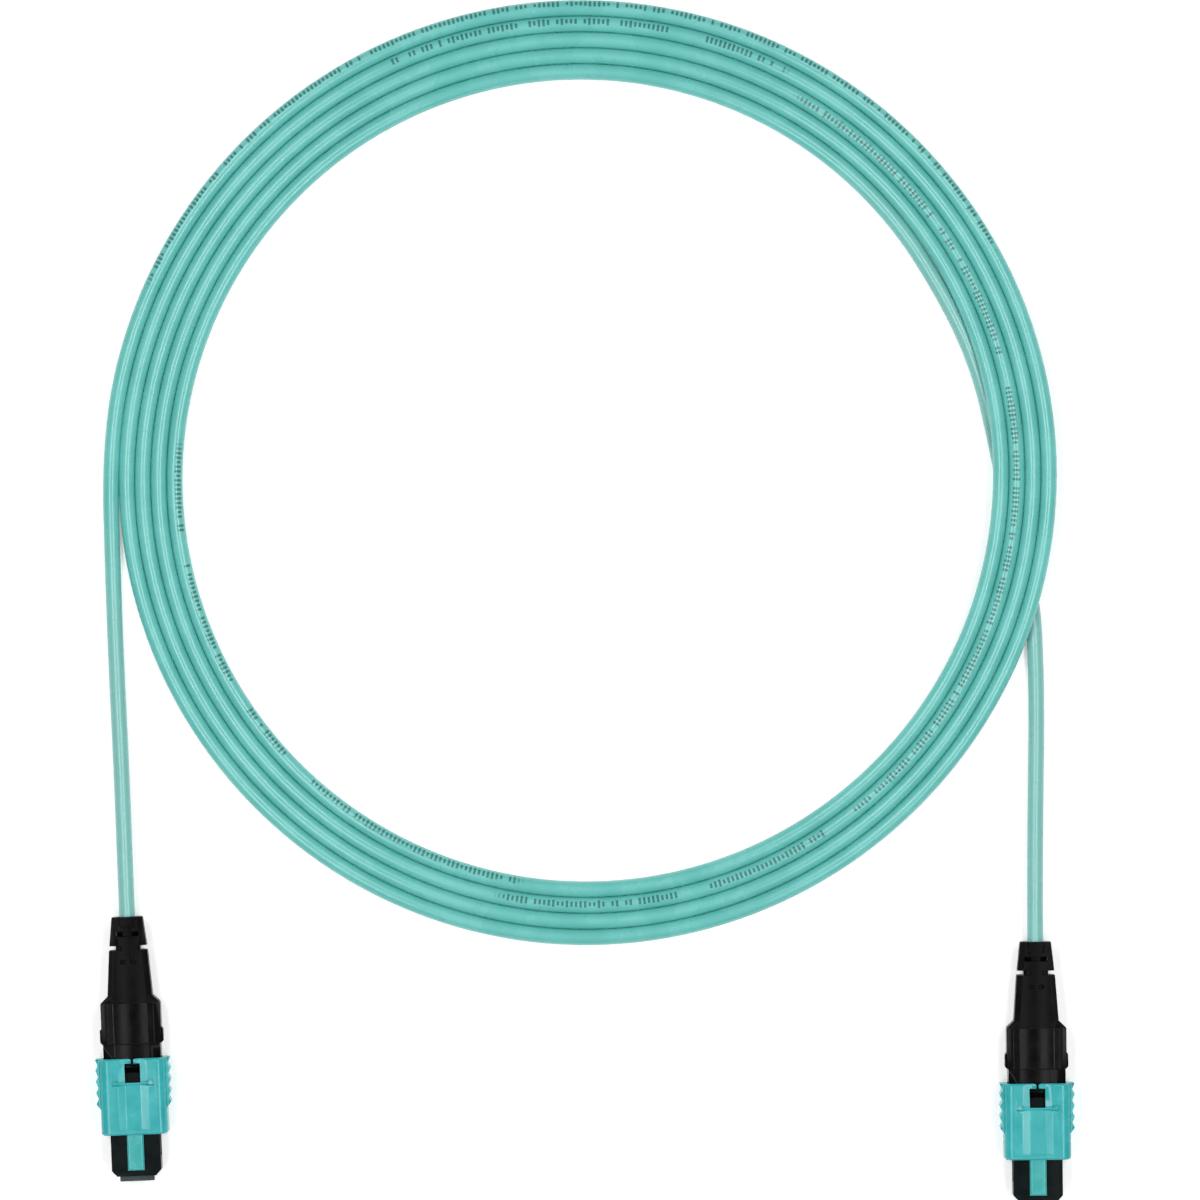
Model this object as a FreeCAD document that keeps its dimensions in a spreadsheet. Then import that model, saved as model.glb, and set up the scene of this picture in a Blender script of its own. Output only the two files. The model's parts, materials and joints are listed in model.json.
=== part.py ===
"""Fibre patch cord: a round 3 mm cable in a flat coil with a multi-fibre push-on plug on each end.

Millimetres. +Z is up and the cord lies on z = 0. Plug A points its ferrule along -Y with its
axis over the Y axis, and the origin is the bottom centre of its box. Each plug is drawn in a
frame of its own, with the ferrule's face at y = 0, the plug's axis on y and its key upwards.
"""
import FreeCAD, Part
import math
import os
import Sketcher

os.makedirs("parts", exist_ok=True)

DIMENSIONS = {
    # ferrule and what rides with it
    "ferrule_width": 6.4,
    "ferrule_height": 2.5,
    "ferrule_length": 8.0,
    "ferrule_proud": 1.0,
    "ferrule_float": 0.7,
    "flange_width": 7.0,
    "flange_height": 3.0,
    "flange_length": 2.6,
    "guide_hole_diameter": 0.7,
    "guide_hole_pitch": 4.6,
    "fibre_count": 12,
    "fibre_pitch": 0.25,
    "fibre_diameter": 0.125,
    "fibre_glue_gap": 0.02,
    "fibre_hole_length": 3.4,
    "ribbon_width": 3.05,
    "ribbon_height": 0.32,
    "boot_wall": 0.2,
    "ferrule_boot_height": 1.4,
    "ferrule_boot_seat": 2.4,
    "ferrule_boot_tail": 3.2,
    "ribbon_tail": 20.0,
    "keeper_length": 2.4,
    "keeper_collar": 0.7,
    "spring_wire": 0.34,
    "spring_turns": 4,
    "spring_oval": 1.6,
    # housing
    "housing_width": 9.3,
    "housing_height": 5.0,
    "housing_length": 21.9,
    "nose_chamfer_width": 1.0,
    "nose_chamfer_length": 1.1,
    "bore_gap": 0.12,
    "flange_gap": 0.1,
    "stop_gap": 0.02,
    "latch_pocket_start": 3.4,
    "latch_pocket_length": 5.8,
    "latch_pocket_depth": 0.5,
    "latch_pocket_height": 3.0,
    "channel_depth": 0.55,
    "channel_height": 1.7,
    "snap_window_width": 3.0,
    "snap_window_length": 1.5,
    "snap_setback": 1.1,
    # polarity key
    "key_width": 3.15,
    "key_rise": 0.8,
    "key_length": 12.0,
    "key_setback": 1.1,
    "key_foot_width": 3.8,
    "key_neck_width": 2.8,
    "key_foot_height": 0.28,
    "key_neck_height": 0.3,
    "key_gap": 0.03,
    "key_bevel": 0.35,
    # coupling sleeve
    "sleeve_setback": 7.8,
    "sleeve_overhang": 0.2,
    "sleeve_width": 12.5,
    "sleeve_height": 7.7,
    "sleeve_corner": 1.7,
    "sleeve_travel": 2.5,
    "slide_gap": 0.12,
    "grip_width": 14.0,
    "grip_height": 5.0,
    "grip_length": 9.4,
    "grip_teeth": 4,
    "grip_tooth_depth": 0.45,
    "recess_depth": 0.78,
    "recess_height": 3.4,
    "scoop_width": 5.6,
    "scoop_floor": 2.9,
    "scoop_margin": 1.0,
    "scoop_depth": 0.25,
    "groove_width": 7.8,
    "groove_length": 0.55,
    "groove_depth": 0.45,
    "pit_width": 1.2,
    "pit_length": 0.95,
    "pit_depth": 0.7,
    "groove_ramp": 0.45,
    "window_length": 3.6,
    "window_setback": 0.95,
    "slit_width": 0.45,
    "slit_mouth": 1.3,
    "lug_length": 1.0,
    "lug_height": 1.5,
    "lug_setback": 10.9,
    "sleeve_spring_length": 7.2,
    "sleeve_spring_diameter": 1.34,
    "sleeve_spring_wire": 0.22,
    "sleeve_spring_turns": 4,
    # rear body, crimp and boot
    "end_gap": 0.2,
    "collar_width": 10.7,
    "collar_height": 5.9,
    "collar_gap": 0.1,
    "spigot_length": 3.9,
    "body_width": 11.2,
    "body_height": 7.0,
    "body_length": 7.7,
    "body_bevel": 1.2,
    "nub_rise": 0.35,
    "nub_length": 3.0,
    "nub_height": 3.0,
    "post_diameter": 3.5,
    "post_bore": 2.3,
    "post_length": 4.8,
    "post_ridge_length": 1.6,
    "post_ridge_rise": 0.1,
    "aramid_thickness": 0.3,
    "crimp_wall": 0.45,
    "crimp_tail_length": 2.0,
    "cable_diameter": 3.0,
    "cable_gap": 0.03,
    "boot_root_width": 8.4,
    "boot_root_height": 6.6,
    "boot_waist_width": 7.2,
    "boot_waist_height": 6.0,
    "boot_ring_width": 7.0,
    "boot_end_width": 5.8,
    "boot_end_height": 5.2,
    "boot_neck_width": 4.6,
    "shoulder_length": 1.3,
    "segment_length": 8.6,
    "notch_length": 0.8,
    "ring_length": 5.4,
    "boot_crimp_gap": 0.15,
    "boot_edge": 1.1,
    "slot_length": 0.9,
    "slot_setback": 1.75,
    "mouth_length": 1.9,
    "mouth_width": 3.2,
    "mouth_depth": 0.5,
    "spine_wall": 0.5,
    "neck_pit_width": 0.7,
    "neck_pit_depth": 0.6,
    "neck_pit_inset": 0.5,
    "relief_width": 1.1,
    "relief_length": 0.8,
    "relief_depth": 1.0,
    "relief_setback": 1.8,
    # cable
    "coil_radius": 88.9,
    "coil_turns": 4.5,
    "coil_bevel": 0.9,
    "hump_rise": 3.1,
}


class Size:
    """A length that keeps both its value and the sheet expression that it is bound by."""

    def __init__(self, value, text):
        self.value = value
        self.text = text

    def __add__(self, other):
        other = as_size(other)
        return Size(self.value + other.value, f"({self.text} + {other.text})")

    def __sub__(self, other):
        other = as_size(other)
        return Size(self.value - other.value, f"({self.text} - {other.text})")

    def __mul__(self, other):
        other = as_size(other)
        return Size(self.value * other.value, f"{self.text} * {other.text}")

    def __truediv__(self, other):
        other = as_size(other)
        return Size(self.value / other.value, f"{self.text} / {other.text}")

    def __neg__(self):
        return Size(-self.value, f"(-1 * {self.text})")


def as_size(number):
    return number if isinstance(number, Size) else Size(number, f"({number})")


class Dimensions:
    """The driving dimensions, each one a cell of the sheet and a Size here."""

    def __init__(self, sheet, numbers):
        for row, (name, value) in enumerate(numbers.items(), start=1):
            sheet.set(f"A{row}", name)
            sheet.set(f"B{row}", str(value))
            sheet.setAlias(f"B{row}", name)
            setattr(self, name, Size(value, f"{sheet.Name}.{name}"))


doc = FreeCAD.newDocument("fibre_patch_cord")
dims = Dimensions(doc.addObject("Spreadsheet::Sheet", "dims"), DIMENSIONS)
ZERO = Size(0.0, "0")


class Stations:
    """Where the plug's steps lie along its axis, measured back from the ferrule's face."""

    housing_front = dims.ferrule_proud
    housing_rear = housing_front + dims.housing_length
    flange_front = dims.ferrule_length - dims.flange_length
    keeper_front = dims.ferrule_length
    keeper_rear = keeper_front + dims.keeper_length
    spigot_front = housing_rear - dims.spigot_length
    sleeve_front = housing_front + dims.sleeve_setback
    sleeve_rear = housing_rear + dims.sleeve_overhang
    grip_front = sleeve_rear - dims.grip_length
    lug_front = housing_rear - dims.lug_setback
    lug_rear = lug_front + dims.lug_length
    channel_rear = lug_rear + dims.sleeve_spring_length
    counterbore_front = housing_rear - dims.sleeve_travel - dims.end_gap
    snap_front = housing_rear - dims.snap_setback - dims.snap_window_length
    key_front = housing_front + dims.key_setback
    key_rear = key_front + dims.key_length
    body_front = sleeve_rear + dims.sleeve_travel + dims.end_gap
    body_rear = body_front + dims.body_length
    post_rear = body_rear + dims.post_length
    shoulder_rear = body_rear + dims.shoulder_length
    segment_rear = shoulder_rear + dims.segment_length
    ring_front = segment_rear + dims.notch_length
    boot_rear = ring_front + dims.ring_length


# Sketch planes of a body: the axes of the sketch, and which way its normal points.
NORMAL = {"XY_Plane": 1, "XZ_Plane": -1, "YZ_Plane": 1}


def sketch_on(body, plane, place, name):
    """A sketch on one of the body's origin planes, moved to the place along the third axis."""
    sketch = body.newObject("Sketcher::SketchObject", name)
    origin_plane = [item for item in body.Origin.OriginFeatures if item.Role == plane][0]
    sketch.AttachmentSupport = [(origin_plane, "")]
    sketch.MapMode = "FlatFace"
    sketch.setExpression("AttachmentOffset.Base.z", (place * NORMAL[plane]).text)
    return sketch


def pin_point(sketch, edge, point, place):
    """Tie a point to the sketch's origin by its two bound distances."""
    for direction, size in zip(("DistanceX", "DistanceY"), place):
        constraint = Sketcher.Constraint(direction, -1, 1, edge, point, size.value)
        index = sketch.addConstraint(constraint)
        sketch.setExpression(f"Constraints[{index}]", size.text)


def draw_polygon(sketch, corners):
    """A closed outline with every corner tied to the sheet."""
    first = sketch.GeometryCount
    points = [FreeCAD.Vector(u.value, v.value, 0) for u, v in corners]
    for here, there in zip(points, points[1:] + points[:1]):
        sketch.addGeometry(Part.LineSegment(here, there), False)
    for step in range(len(points)):
        ahead = (step + 1) % len(points)
        sketch.addConstraint(Sketcher.Constraint("Coincident", first + step, 2, first + ahead, 1))
    for step, corner in enumerate(corners):
        pin_point(sketch, first + step, 1, corner)


def draw_circle(sketch, centre, radius):
    middle = FreeCAD.Vector(centre[0].value, centre[1].value, 0)
    circle = Part.Circle(middle, FreeCAD.Vector(0, 0, 1), radius.value)
    edge = sketch.addGeometry(circle, False)
    index = sketch.addConstraint(Sketcher.Constraint("Radius", edge, radius.value))
    sketch.setExpression(f"Constraints[{index}]", radius.text)
    pin_point(sketch, edge, 3, centre)


def rectangle(left, right, low, high):
    return [(left, low), (right, low), (right, high), (left, high)]


def centred(width, height):
    """A rectangle about the plug's axis."""
    return rectangle(-width / 2, width / 2, -height / 2, height / 2)


def mirrored(corners):
    """The same outline on the other side of the sketch's upright axis."""
    return [(-across, along) for across, along in reversed(corners)]


def octagon(centre, flat):
    """An eight-sided outline whose flats lie at this distance from its centre."""
    side = flat * 0.4142
    across, up = centre
    return [(across + u, up + v) for u, v in (
        (-side, -flat), (side, -flat), (flat, -side), (flat, side),
        (side, flat), (-side, flat), (-flat, side), (-flat, -side))]


def hexagon(flat):
    """A six-sided outline about the axis, with level flats at this distance above and below."""
    corner = flat * 1.1547
    return [(-corner / 2, -flat), (corner / 2, -flat), (corner, ZERO),
            (corner / 2, flat), (-corner / 2, flat), (-corner, ZERO)]


def bevelled(width, height, bevel):
    """A rectangle about the axis with its corners cut off."""
    right, top = width / 2, height / 2
    return [(bevel - right, -top), (right - bevel, -top), (right, bevel - top),
            (right, top - bevel), (right - bevel, top), (bevel - right, top),
            (-right, top - bevel), (-right, bevel - top)]


def taper(body, name, start, end, first_outline, last_outline):
    """A straight-sided loft between two outlines across the plug's axis."""
    sections = []
    for place, outline, part in ((start, first_outline, "front"), (end, last_outline, "rear")):
        sketch = sketch_on(body, "XZ_Plane", place, f"{name}_{part}")
        draw_polygon(sketch, outline)
        sections.append(sketch)
    loft = body.newObject("PartDesign::AdditiveLoft", name)
    loft.Profile = sections[0]
    loft.Sections = [sections[1]]
    loft.Ruled = True


def extrude(body, kind, name, plane, start, end, outlines, circles=()):
    """A pad or pocket of closed outlines between two places along the plane's normal."""
    sketch = sketch_on(body, plane, (start + end) / 2, name + "_sketch")
    for corners in outlines:
        draw_polygon(sketch, corners)
    for centre, radius in circles:
        draw_circle(sketch, centre, radius)
    feature = body.newObject(kind, name)
    feature.Profile = sketch
    feature.Midplane = True
    feature.setExpression("Length", (end - start).text)
    return feature


def pad(body, name, plane, start, end, outlines, circles=()):
    return extrude(body, "PartDesign::Pad", name, plane, start, end, outlines, circles)


def pocket(body, name, plane, start, end, outlines, circles=()):
    """A pocket, checked to take something away."""
    doc.recompute()
    before = body.Shape.Volume
    feature = extrude(body, "PartDesign::Pocket", name, plane, start, end, outlines, circles)
    doc.recompute()
    if not body.Shape.Volume < before:
        raise ValueError(f"{body.Label}: {name} cuts nothing")
    return feature


def turn(body, kind, name, outline):
    """A full turn about the plug's axis of an outline of (radius, station) corners."""
    sketch = sketch_on(body, "XY_Plane", ZERO, name + "_sketch")
    draw_polygon(sketch, outline)
    feature = body.newObject(kind, name)
    feature.Profile = sketch
    feature.ReferenceAxis = (sketch, ["V_Axis"])
    feature.Angle = 360
    return feature


def dress(body, kind, name, size_name, size, wanted):
    """A fillet or chamfer on every edge of the body that the test picks."""
    doc.recompute()
    base = body.Tip
    edges = [f"Edge{number}" for number, edge in enumerate(base.Shape.Edges, start=1) if wanted(edge)]
    if not edges:
        raise ValueError(f"{body.Label}: {name} finds no edge")
    feature = body.newObject(kind, name)
    feature.Base = (base, edges)
    feature.setExpression(size_name, size.text)
    return feature


def fillet(body, name, radius, wanted):
    return dress(body, "PartDesign::Fillet", name, "Radius", radius, wanted)


def chamfer(body, name, size, wanted):
    return dress(body, "PartDesign::Chamfer", name, "Size", size, wanted)


def along_axis(edge):
    """Whether an edge is straight and runs with the plug's axis."""
    box = edge.BoundBox
    return box.XLength < 1e-6 and box.ZLength < 1e-6


def near(value, size, slack=1e-4):
    return abs(value - size.value) < slack


class Plug:
    """One end of the cord: the suffix of its pieces' names and the place of its own frame."""

    def __init__(self, suffix, placement):
        self.suffix = suffix
        self.placement = placement

    def body(self, label):
        body = doc.addObject("PartDesign::Body", f"{label}_{self.suffix}")
        body.Label = f"{label}_{self.suffix}"
        body.Placement = self.placement
        pieces.append(body)
        return body

    def feature(self, label, shape):
        """A piece whose shape is made by Part's own functions in the plug's frame."""
        feature = doc.addObject("Part::Feature", f"{label}_{self.suffix}")
        feature.Label = f"{label}_{self.suffix}"
        feature.Shape = shape
        feature.Placement = self.placement
        pieces.append(feature)


pieces = []


def make_ferrule(plug):
    """The moulded ferrule: shank and flange, two guide holes and a row of fibre holes."""
    body = plug.body("mt_ferrule")
    rear = dims.ferrule_length
    pad(body, "shank", "XZ_Plane", ZERO, rear, [centred(dims.ferrule_width, dims.ferrule_height)])
    flange = centred(dims.flange_width, dims.flange_height)
    pad(body, "flange", "XZ_Plane", Stations.flange_front, rear, [flange])
    pocket(body, "guide_holes", "XZ_Plane", ZERO, rear, [], guide_circles())
    hole = octagon(first_fibre(), dims.fibre_diameter / 2 + dims.fibre_glue_gap)
    row_of_fibres(pocket(body, "fibre_hole", "XZ_Plane", ZERO, dims.fibre_hole_length, [hole]))
    ribbon = centred(dims.ribbon_width, dims.ribbon_height)
    pocket(body, "ribbon_slot", "XZ_Plane", dims.fibre_hole_length, rear, [ribbon])
    seat = rear - dims.ferrule_boot_seat
    pocket(body, "boot_seat", "XZ_Plane", seat, rear, [ferrule_boot_section()])
    glue_window = rectangle(-dims.ribbon_width / 2, dims.ribbon_width / 2,
                            dims.fibre_hole_length, seat - dims.flange_gap)
    pocket(body, "glue_window", "XY_Plane", ZERO, dims.ferrule_height / 2, [glue_window])


def guide_circles():
    """The two guide pin holes, as (centre, radius)."""
    return [((dims.guide_hole_pitch * side, ZERO), dims.guide_hole_diameter / 2)
            for side in (-0.5, 0.5)]


def first_fibre():
    """Where the outermost fibre on the left lies in the ferrule's section."""
    return (-(dims.fibre_count - 1) * dims.fibre_pitch / 2, ZERO)


def row_of_fibres(feature):
    """Repeat a feature made for the first fibre once for each of them."""
    row = feature.getParentGeoFeatureGroup().newObject("PartDesign::LinearPattern", "fibre_row")
    row.Originals = [feature]
    row.Direction = (feature.Profile[0], ["H_Axis"])
    row.setExpression("Length", ((dims.fibre_count - 1) * dims.fibre_pitch).text)
    row.setExpression("Occurrences", dims.fibre_count.text)
    row.getParentGeoFeatureGroup().Tip = row


def ferrule_boot_section():
    return centred(dims.ribbon_width + dims.boot_wall * 2, dims.ferrule_boot_height)


def make_ferrule_boot(plug):
    """The soft boot that steadies the ribbon where it enters the ferrule."""
    body = plug.body("ferrule_boot")
    front = dims.ferrule_length - dims.ferrule_boot_seat
    rear = dims.ferrule_length + dims.ferrule_boot_tail
    pad(body, "block", "XZ_Plane", front, rear, [ferrule_boot_section()])
    ribbon = centred(dims.ribbon_width, dims.ribbon_height)
    pocket(body, "ribbon_slot", "XZ_Plane", front, rear, [ribbon])


def spring_inside():
    """Half the clear height inside the oval spring."""
    return dims.flange_height / 2 - dims.spring_wire - dims.flange_gap / 2


def make_pin_keeper(plug):
    """The spacer behind the ferrule, with pin sockets and a collar inside the spring."""
    body = plug.body("pin_keeper")
    front, rear = Stations.keeper_front, Stations.keeper_rear
    pad(body, "block", "XZ_Plane", front, rear, [centred(dims.flange_width, dims.flange_height)])
    high = spring_inside() - dims.bore_gap
    low = high * 0.35
    wide = dims.spring_oval + high * 0.85
    narrow = dims.spring_oval + high * 0.2
    collar = [(-wide, -low), (-narrow, -high), (narrow, -high), (wide, -low),
              (wide, low), (narrow, high), (-narrow, high), (-wide, low)]
    pad(body, "collar", "XZ_Plane", rear, rear + dims.keeper_collar, [collar])
    opening = centred(dims.ribbon_width + (dims.boot_wall + dims.slide_gap) * 2,
                      dims.ferrule_boot_height + dims.flange_gap)
    pocket(body, "boot_opening", "XZ_Plane", front, rear + dims.keeper_collar, [opening])
    pocket(body, "pin_sockets", "XZ_Plane", front, rear, [], guide_circles())


def make_fibre_bundle(plug):
    """Bare fibres in the ferrule, then the ribbon, then the loose bundle up to the cable."""
    body = plug.body("fibre_bundle")
    fibre = octagon(first_fibre(), dims.fibre_diameter / 2)
    ribbon = centred(dims.ribbon_width, dims.ribbon_height)
    ribbon_end = dims.fibre_hole_length + dims.ribbon_tail
    bundle_front = Stations.body_rear - dims.shoulder_length
    bundle_rear = Stations.post_rear - dims.ferrule_float - dims.end_gap
    bundle = centred(dims.post_bore / 2, dims.post_bore / 2 - dims.ribbon_height)
    pad(body, "ribbon", "XZ_Plane", dims.fibre_hole_length, ribbon_end, [ribbon])
    row_of_fibres(pad(body, "bare_fibre", "XZ_Plane", ZERO, dims.fibre_hole_length, [fibre]))
    pad(body, "bundle", "XZ_Plane", bundle_front, bundle_rear, [bundle])
    wide, narrow = dims.ribbon_width / 2, dims.post_bore / 4
    plan = [(-narrow, bundle_front), (-wide, ribbon_end), (wide, ribbon_end),
            (narrow, bundle_front)]
    pad(body, "gather", "XY_Plane", -dims.ribbon_height / 2, dims.ribbon_height / 2, [plan])


def wound_wire(places, wire):
    """A square wire through the places, each of them given with its outward direction."""
    along = FreeCAD.Vector(0, wire / 2, 0)
    sections = []
    for place, outward in places:
        across = outward * (wire / 2)
        corners = [place - across - along, place + across - along,
                   place + across + along, place - across + along]
        sections.append(Part.makePolygon(corners + corners[:1]))
    return Part.makeLoft(sections, True, True)


def make_ferrule_spring(plug):
    """An oval coil: level runs over and under the ribbon, joined by rising half circles."""
    wire = dims.spring_wire.value
    front = Stations.keeper_rear.value + wire / 2
    rear = Stations.spigot_front.value - wire / 2
    half_run = dims.spring_oval.value
    radius = spring_inside().value + wire / 2
    bends = int(dims.spring_turns.value) * 2
    down = FreeCAD.Vector(0, 0, -1)
    places = [(FreeCAD.Vector(-half_run, front, -radius), down)]
    for bend in range(bends):
        side = 1 if bend % 2 == 0 else -1
        for step in range(5):
            angle = math.radians(45 * step - 90)
            outward = FreeCAD.Vector(math.cos(angle), 0, math.sin(angle)) * side
            place = front + (rear - front) * (bend + step / 4) / bends
            middle = FreeCAD.Vector(half_run * side, place, 0)
            places.append((middle + outward * radius, outward))
    places.append((FreeCAD.Vector(half_run, rear, -radius), down))
    plug.feature("ferrule_spring", wound_wire(places, wire))


def make_housing(plug):
    """The black inner housing that the adapter's latches hold."""
    body = plug.body("plug_housing")
    front, rear = Stations.housing_front, Stations.housing_rear
    half_width, half_height = dims.housing_width / 2, dims.housing_height / 2
    pad(body, "block", "XZ_Plane", front, rear, [centred(dims.housing_width, dims.housing_height)])
    fillet(body, "long_edges", dims.key_bevel, along_axis)
    corner = [(half_width - dims.nose_chamfer_width, front), (half_width, front),
              (half_width, front + dims.nose_chamfer_length)]
    pocket(body, "nose_corners", "XY_Plane", -half_height, half_height, [corner, mirrored(corner)])
    ledge = Stations.flange_front - dims.stop_gap
    opening = centred(dims.ferrule_width + dims.bore_gap * 2,
                      dims.ferrule_height + dims.bore_gap * 2)
    pocket(body, "ferrule_opening", "XZ_Plane", front, ledge, [opening])
    pocket(body, "cavity", "XZ_Plane", ledge, rear, [cavity_section()])
    pocket_front = front + dims.latch_pocket_start
    floor = half_width - dims.latch_pocket_depth
    latch = [(half_width, pocket_front), (half_width, pocket_front + dims.latch_pocket_length),
             (floor, pocket_front + dims.latch_pocket_length),
             (floor, pocket_front + dims.latch_pocket_depth)]
    pocket(body, "latch_pockets", "XY_Plane", -dims.latch_pocket_height / 2,
           dims.latch_pocket_height / 2, [latch, mirrored(latch)])
    channel = rectangle(channel_floor(), half_width, Stations.lug_front, Stations.channel_rear)
    pocket(body, "spring_channels", "XY_Plane", -dims.channel_height / 2,
           dims.channel_height / 2, [channel, mirrored(channel)])
    snap = rectangle(-dims.snap_window_width / 2, dims.snap_window_width / 2,
                     Stations.snap_front, Stations.snap_front + dims.snap_window_length)
    pocket(body, "snap_windows", "XY_Plane", -half_height, half_height, [snap])
    slot = key_foot_outline(dims.key_gap)
    pocket(body, "key_slot", "XZ_Plane", Stations.key_front - dims.key_gap,
           Stations.key_rear + dims.key_gap, [slot])


def cavity_section():
    return centred(dims.flange_width + dims.flange_gap * 2,
                   dims.flange_height + dims.flange_gap * 2)


def channel_floor():
    """How far the floor of the housing's spring channel lies from the axis."""
    return dims.housing_width / 2 - dims.channel_depth


def key_foot_outline(gap):
    """The key's T-shaped foot, or with a gap the slot that holds it."""
    top = dims.housing_height / 2
    neck = dims.key_neck_width / 2 + gap
    foot = dims.key_foot_width / 2 + gap
    step = top - dims.key_neck_height + gap
    sole = top - dims.key_neck_height - dims.key_foot_height - gap
    return [(-foot, sole), (foot, sole), (foot, step), (neck, step),
            (neck, top), (-neck, top), (-neck, step), (-foot, step)]


def make_key(plug):
    """The polarity key: a bar on top of the nose whose foot slides into the housing's slot."""
    body = plug.body("polarity_key")
    top = dims.housing_height / 2
    bar = rectangle(-dims.key_width / 2, dims.key_width / 2, top, top + dims.key_rise)
    pad(body, "bar", "XZ_Plane", Stations.key_front, Stations.key_rear, [bar])
    crown = top + dims.key_rise
    chamfer(body, "bar_edges", dims.key_bevel,
            lambda edge: near(edge.BoundBox.ZMin, crown) and near(edge.BoundBox.ZMax, crown))
    foot = key_foot_outline(ZERO)
    pad(body, "foot", "XZ_Plane", Stations.key_front, Stations.key_rear, [foot])


def grip_outline():
    """The serrated side grip seen from above: a ramp, then teeth that lean towards the cable."""
    root = dims.sleeve_width / 2 - dims.recess_depth / 2
    peak = dims.grip_width / 2
    valley = peak - dims.grip_tooth_depth
    teeth = int(dims.grip_teeth.value)
    pitch = dims.grip_length / (teeth + 0.5)
    outline = [(root, Stations.sleeve_rear), (root, Stations.grip_front),
               (dims.sleeve_width / 2, Stations.grip_front)]
    for tooth in range(teeth + 1):
        crest = Stations.grip_front + pitch * (tooth + 0.5)
        outline.append((peak, crest))
        if tooth < teeth:
            outline.append((valley, crest + pitch * 0.45))
    return outline


def make_sleeve(plug):
    """The sliding coupling sleeve: serrated grips, thumb pads, a window and inner spring lugs."""
    body = plug.body("coupling_sleeve")
    front, rear = Stations.sleeve_front, Stations.sleeve_rear
    top = dims.sleeve_height / 2
    outside = centred(dims.sleeve_width, dims.sleeve_height)
    pad(body, "barrel", "XZ_Plane", front, rear, [outside])
    fillet(body, "long_edges", dims.sleeve_corner, along_axis)
    chamfer(body, "end_edges", dims.key_bevel, lambda edge: edge.BoundBox.YLength < 1e-6)
    grip = grip_outline()
    pad(body, "grips", "XY_Plane", -dims.grip_height / 2, dims.grip_height / 2,
        [grip, mirrored(grip)])
    bore = centred(dims.housing_width + dims.slide_gap * 2, dims.housing_height + dims.slide_gap * 2)
    pocket(body, "bore", "XZ_Plane", front, rear, [bore])
    recess = centred(dims.housing_width + (dims.slide_gap + dims.recess_depth) * 2,
                     dims.recess_height)
    pocket(body, "latch_recess", "XZ_Plane", front, Stations.lug_front + dims.stop_gap, [recess])
    pocket(body, "spring_recess", "XZ_Plane", Stations.lug_rear, Stations.counterbore_front, [recess])
    counterbore = centred(dims.collar_width + dims.collar_gap * 2,
                          dims.collar_height + dims.collar_gap * 2)
    pocket(body, "counterbore", "XZ_Plane", Stations.counterbore_front, rear, [counterbore])
    tip = channel_floor() + dims.flange_gap
    lug = rectangle(tip, dims.housing_width / 2 + dims.slide_gap + dims.recess_depth / 2,
                    Stations.lug_front + dims.stop_gap, Stations.lug_rear)
    pad(body, "lugs", "XY_Plane", -dims.lug_height / 2, dims.lug_height / 2, [lug, mirrored(lug)])
    key_top = dims.housing_height / 2 + dims.key_rise + dims.flange_gap
    key_half = dims.key_width / 2 + dims.slide_gap
    pocket(body, "key_channel", "XZ_Plane", front, Stations.key_rear + dims.end_gap,
           [rectangle(-key_half, key_half, ZERO, key_top)])
    window_rear = rear - dims.window_setback
    window_front = window_rear - dims.window_length
    scoop_front = front + dims.scoop_margin
    top_half, floor_half = dims.scoop_width / 2, dims.scoop_floor / 2
    floor = top - dims.scoop_depth
    scoop = [(-floor_half, floor), (floor_half, floor), (top_half, top), (-top_half, top)]
    lower_scoop = [(across, -up) for across, up in reversed(scoop)]
    pocket(body, "scoops", "XZ_Plane", scoop_front, rear, [scoop, lower_scoop])
    window = rectangle(-floor_half, floor_half, window_front, window_rear)
    pocket(body, "window", "XY_Plane", ZERO, top, [window])
    slit = dims.slit_width / 2
    mouth = dims.slit_mouth / 2
    slit_outline = [(-slit, window_rear), (slit, window_rear), (slit, rear - slit), (mouth, rear),
                    (-mouth, rear), (-slit, rear - slit)]
    pocket(body, "slit", "XY_Plane", ZERO, top, [slit_outline])
    groove_rear = window_front + dims.groove_length / 2
    groove_front = groove_rear - dims.groove_length
    groove = [(groove_front - dims.groove_ramp, top), (groove_front, top - dims.groove_depth),
              (groove_rear, top - dims.groove_depth), (groove_rear, top)]
    half_groove = dims.groove_width / 2
    pocket(body, "groove", "YZ_Plane", -half_groove, half_groove, [groove])
    pit = rectangle(half_groove - dims.pit_width, half_groove,
                    window_front - dims.pit_length / 2, window_front + dims.pit_length / 2)
    pocket(body, "pits", "XY_Plane", top - dims.pit_depth, top, [pit, mirrored(pit)])


def make_sleeve_spring(plug, side_name, side):
    """A small coil in the side channel, between the sleeve's lug and the channel's rear wall."""
    wire = dims.sleeve_spring_wire.value
    radius = (dims.sleeve_spring_diameter.value - wire) / 2
    offset = channel_floor() + dims.sleeve_spring_diameter / 2 + dims.slide_gap / 2
    steps = int(dims.sleeve_spring_turns.value) * 6
    front = Stations.lug_rear.value + wire / 2
    climb = (dims.sleeve_spring_length.value - wire) / steps
    places = []
    for step in range(steps + 1):
        angle = math.radians(60 * step)
        outward = FreeCAD.Vector(math.cos(angle), 0, math.sin(angle))
        middle = FreeCAD.Vector(offset.value * side, front + climb * step, 0)
        places.append((middle + outward * radius, outward))
    plug.feature(f"sleeve_spring_{side_name}", wound_wire(places, wire))


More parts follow.
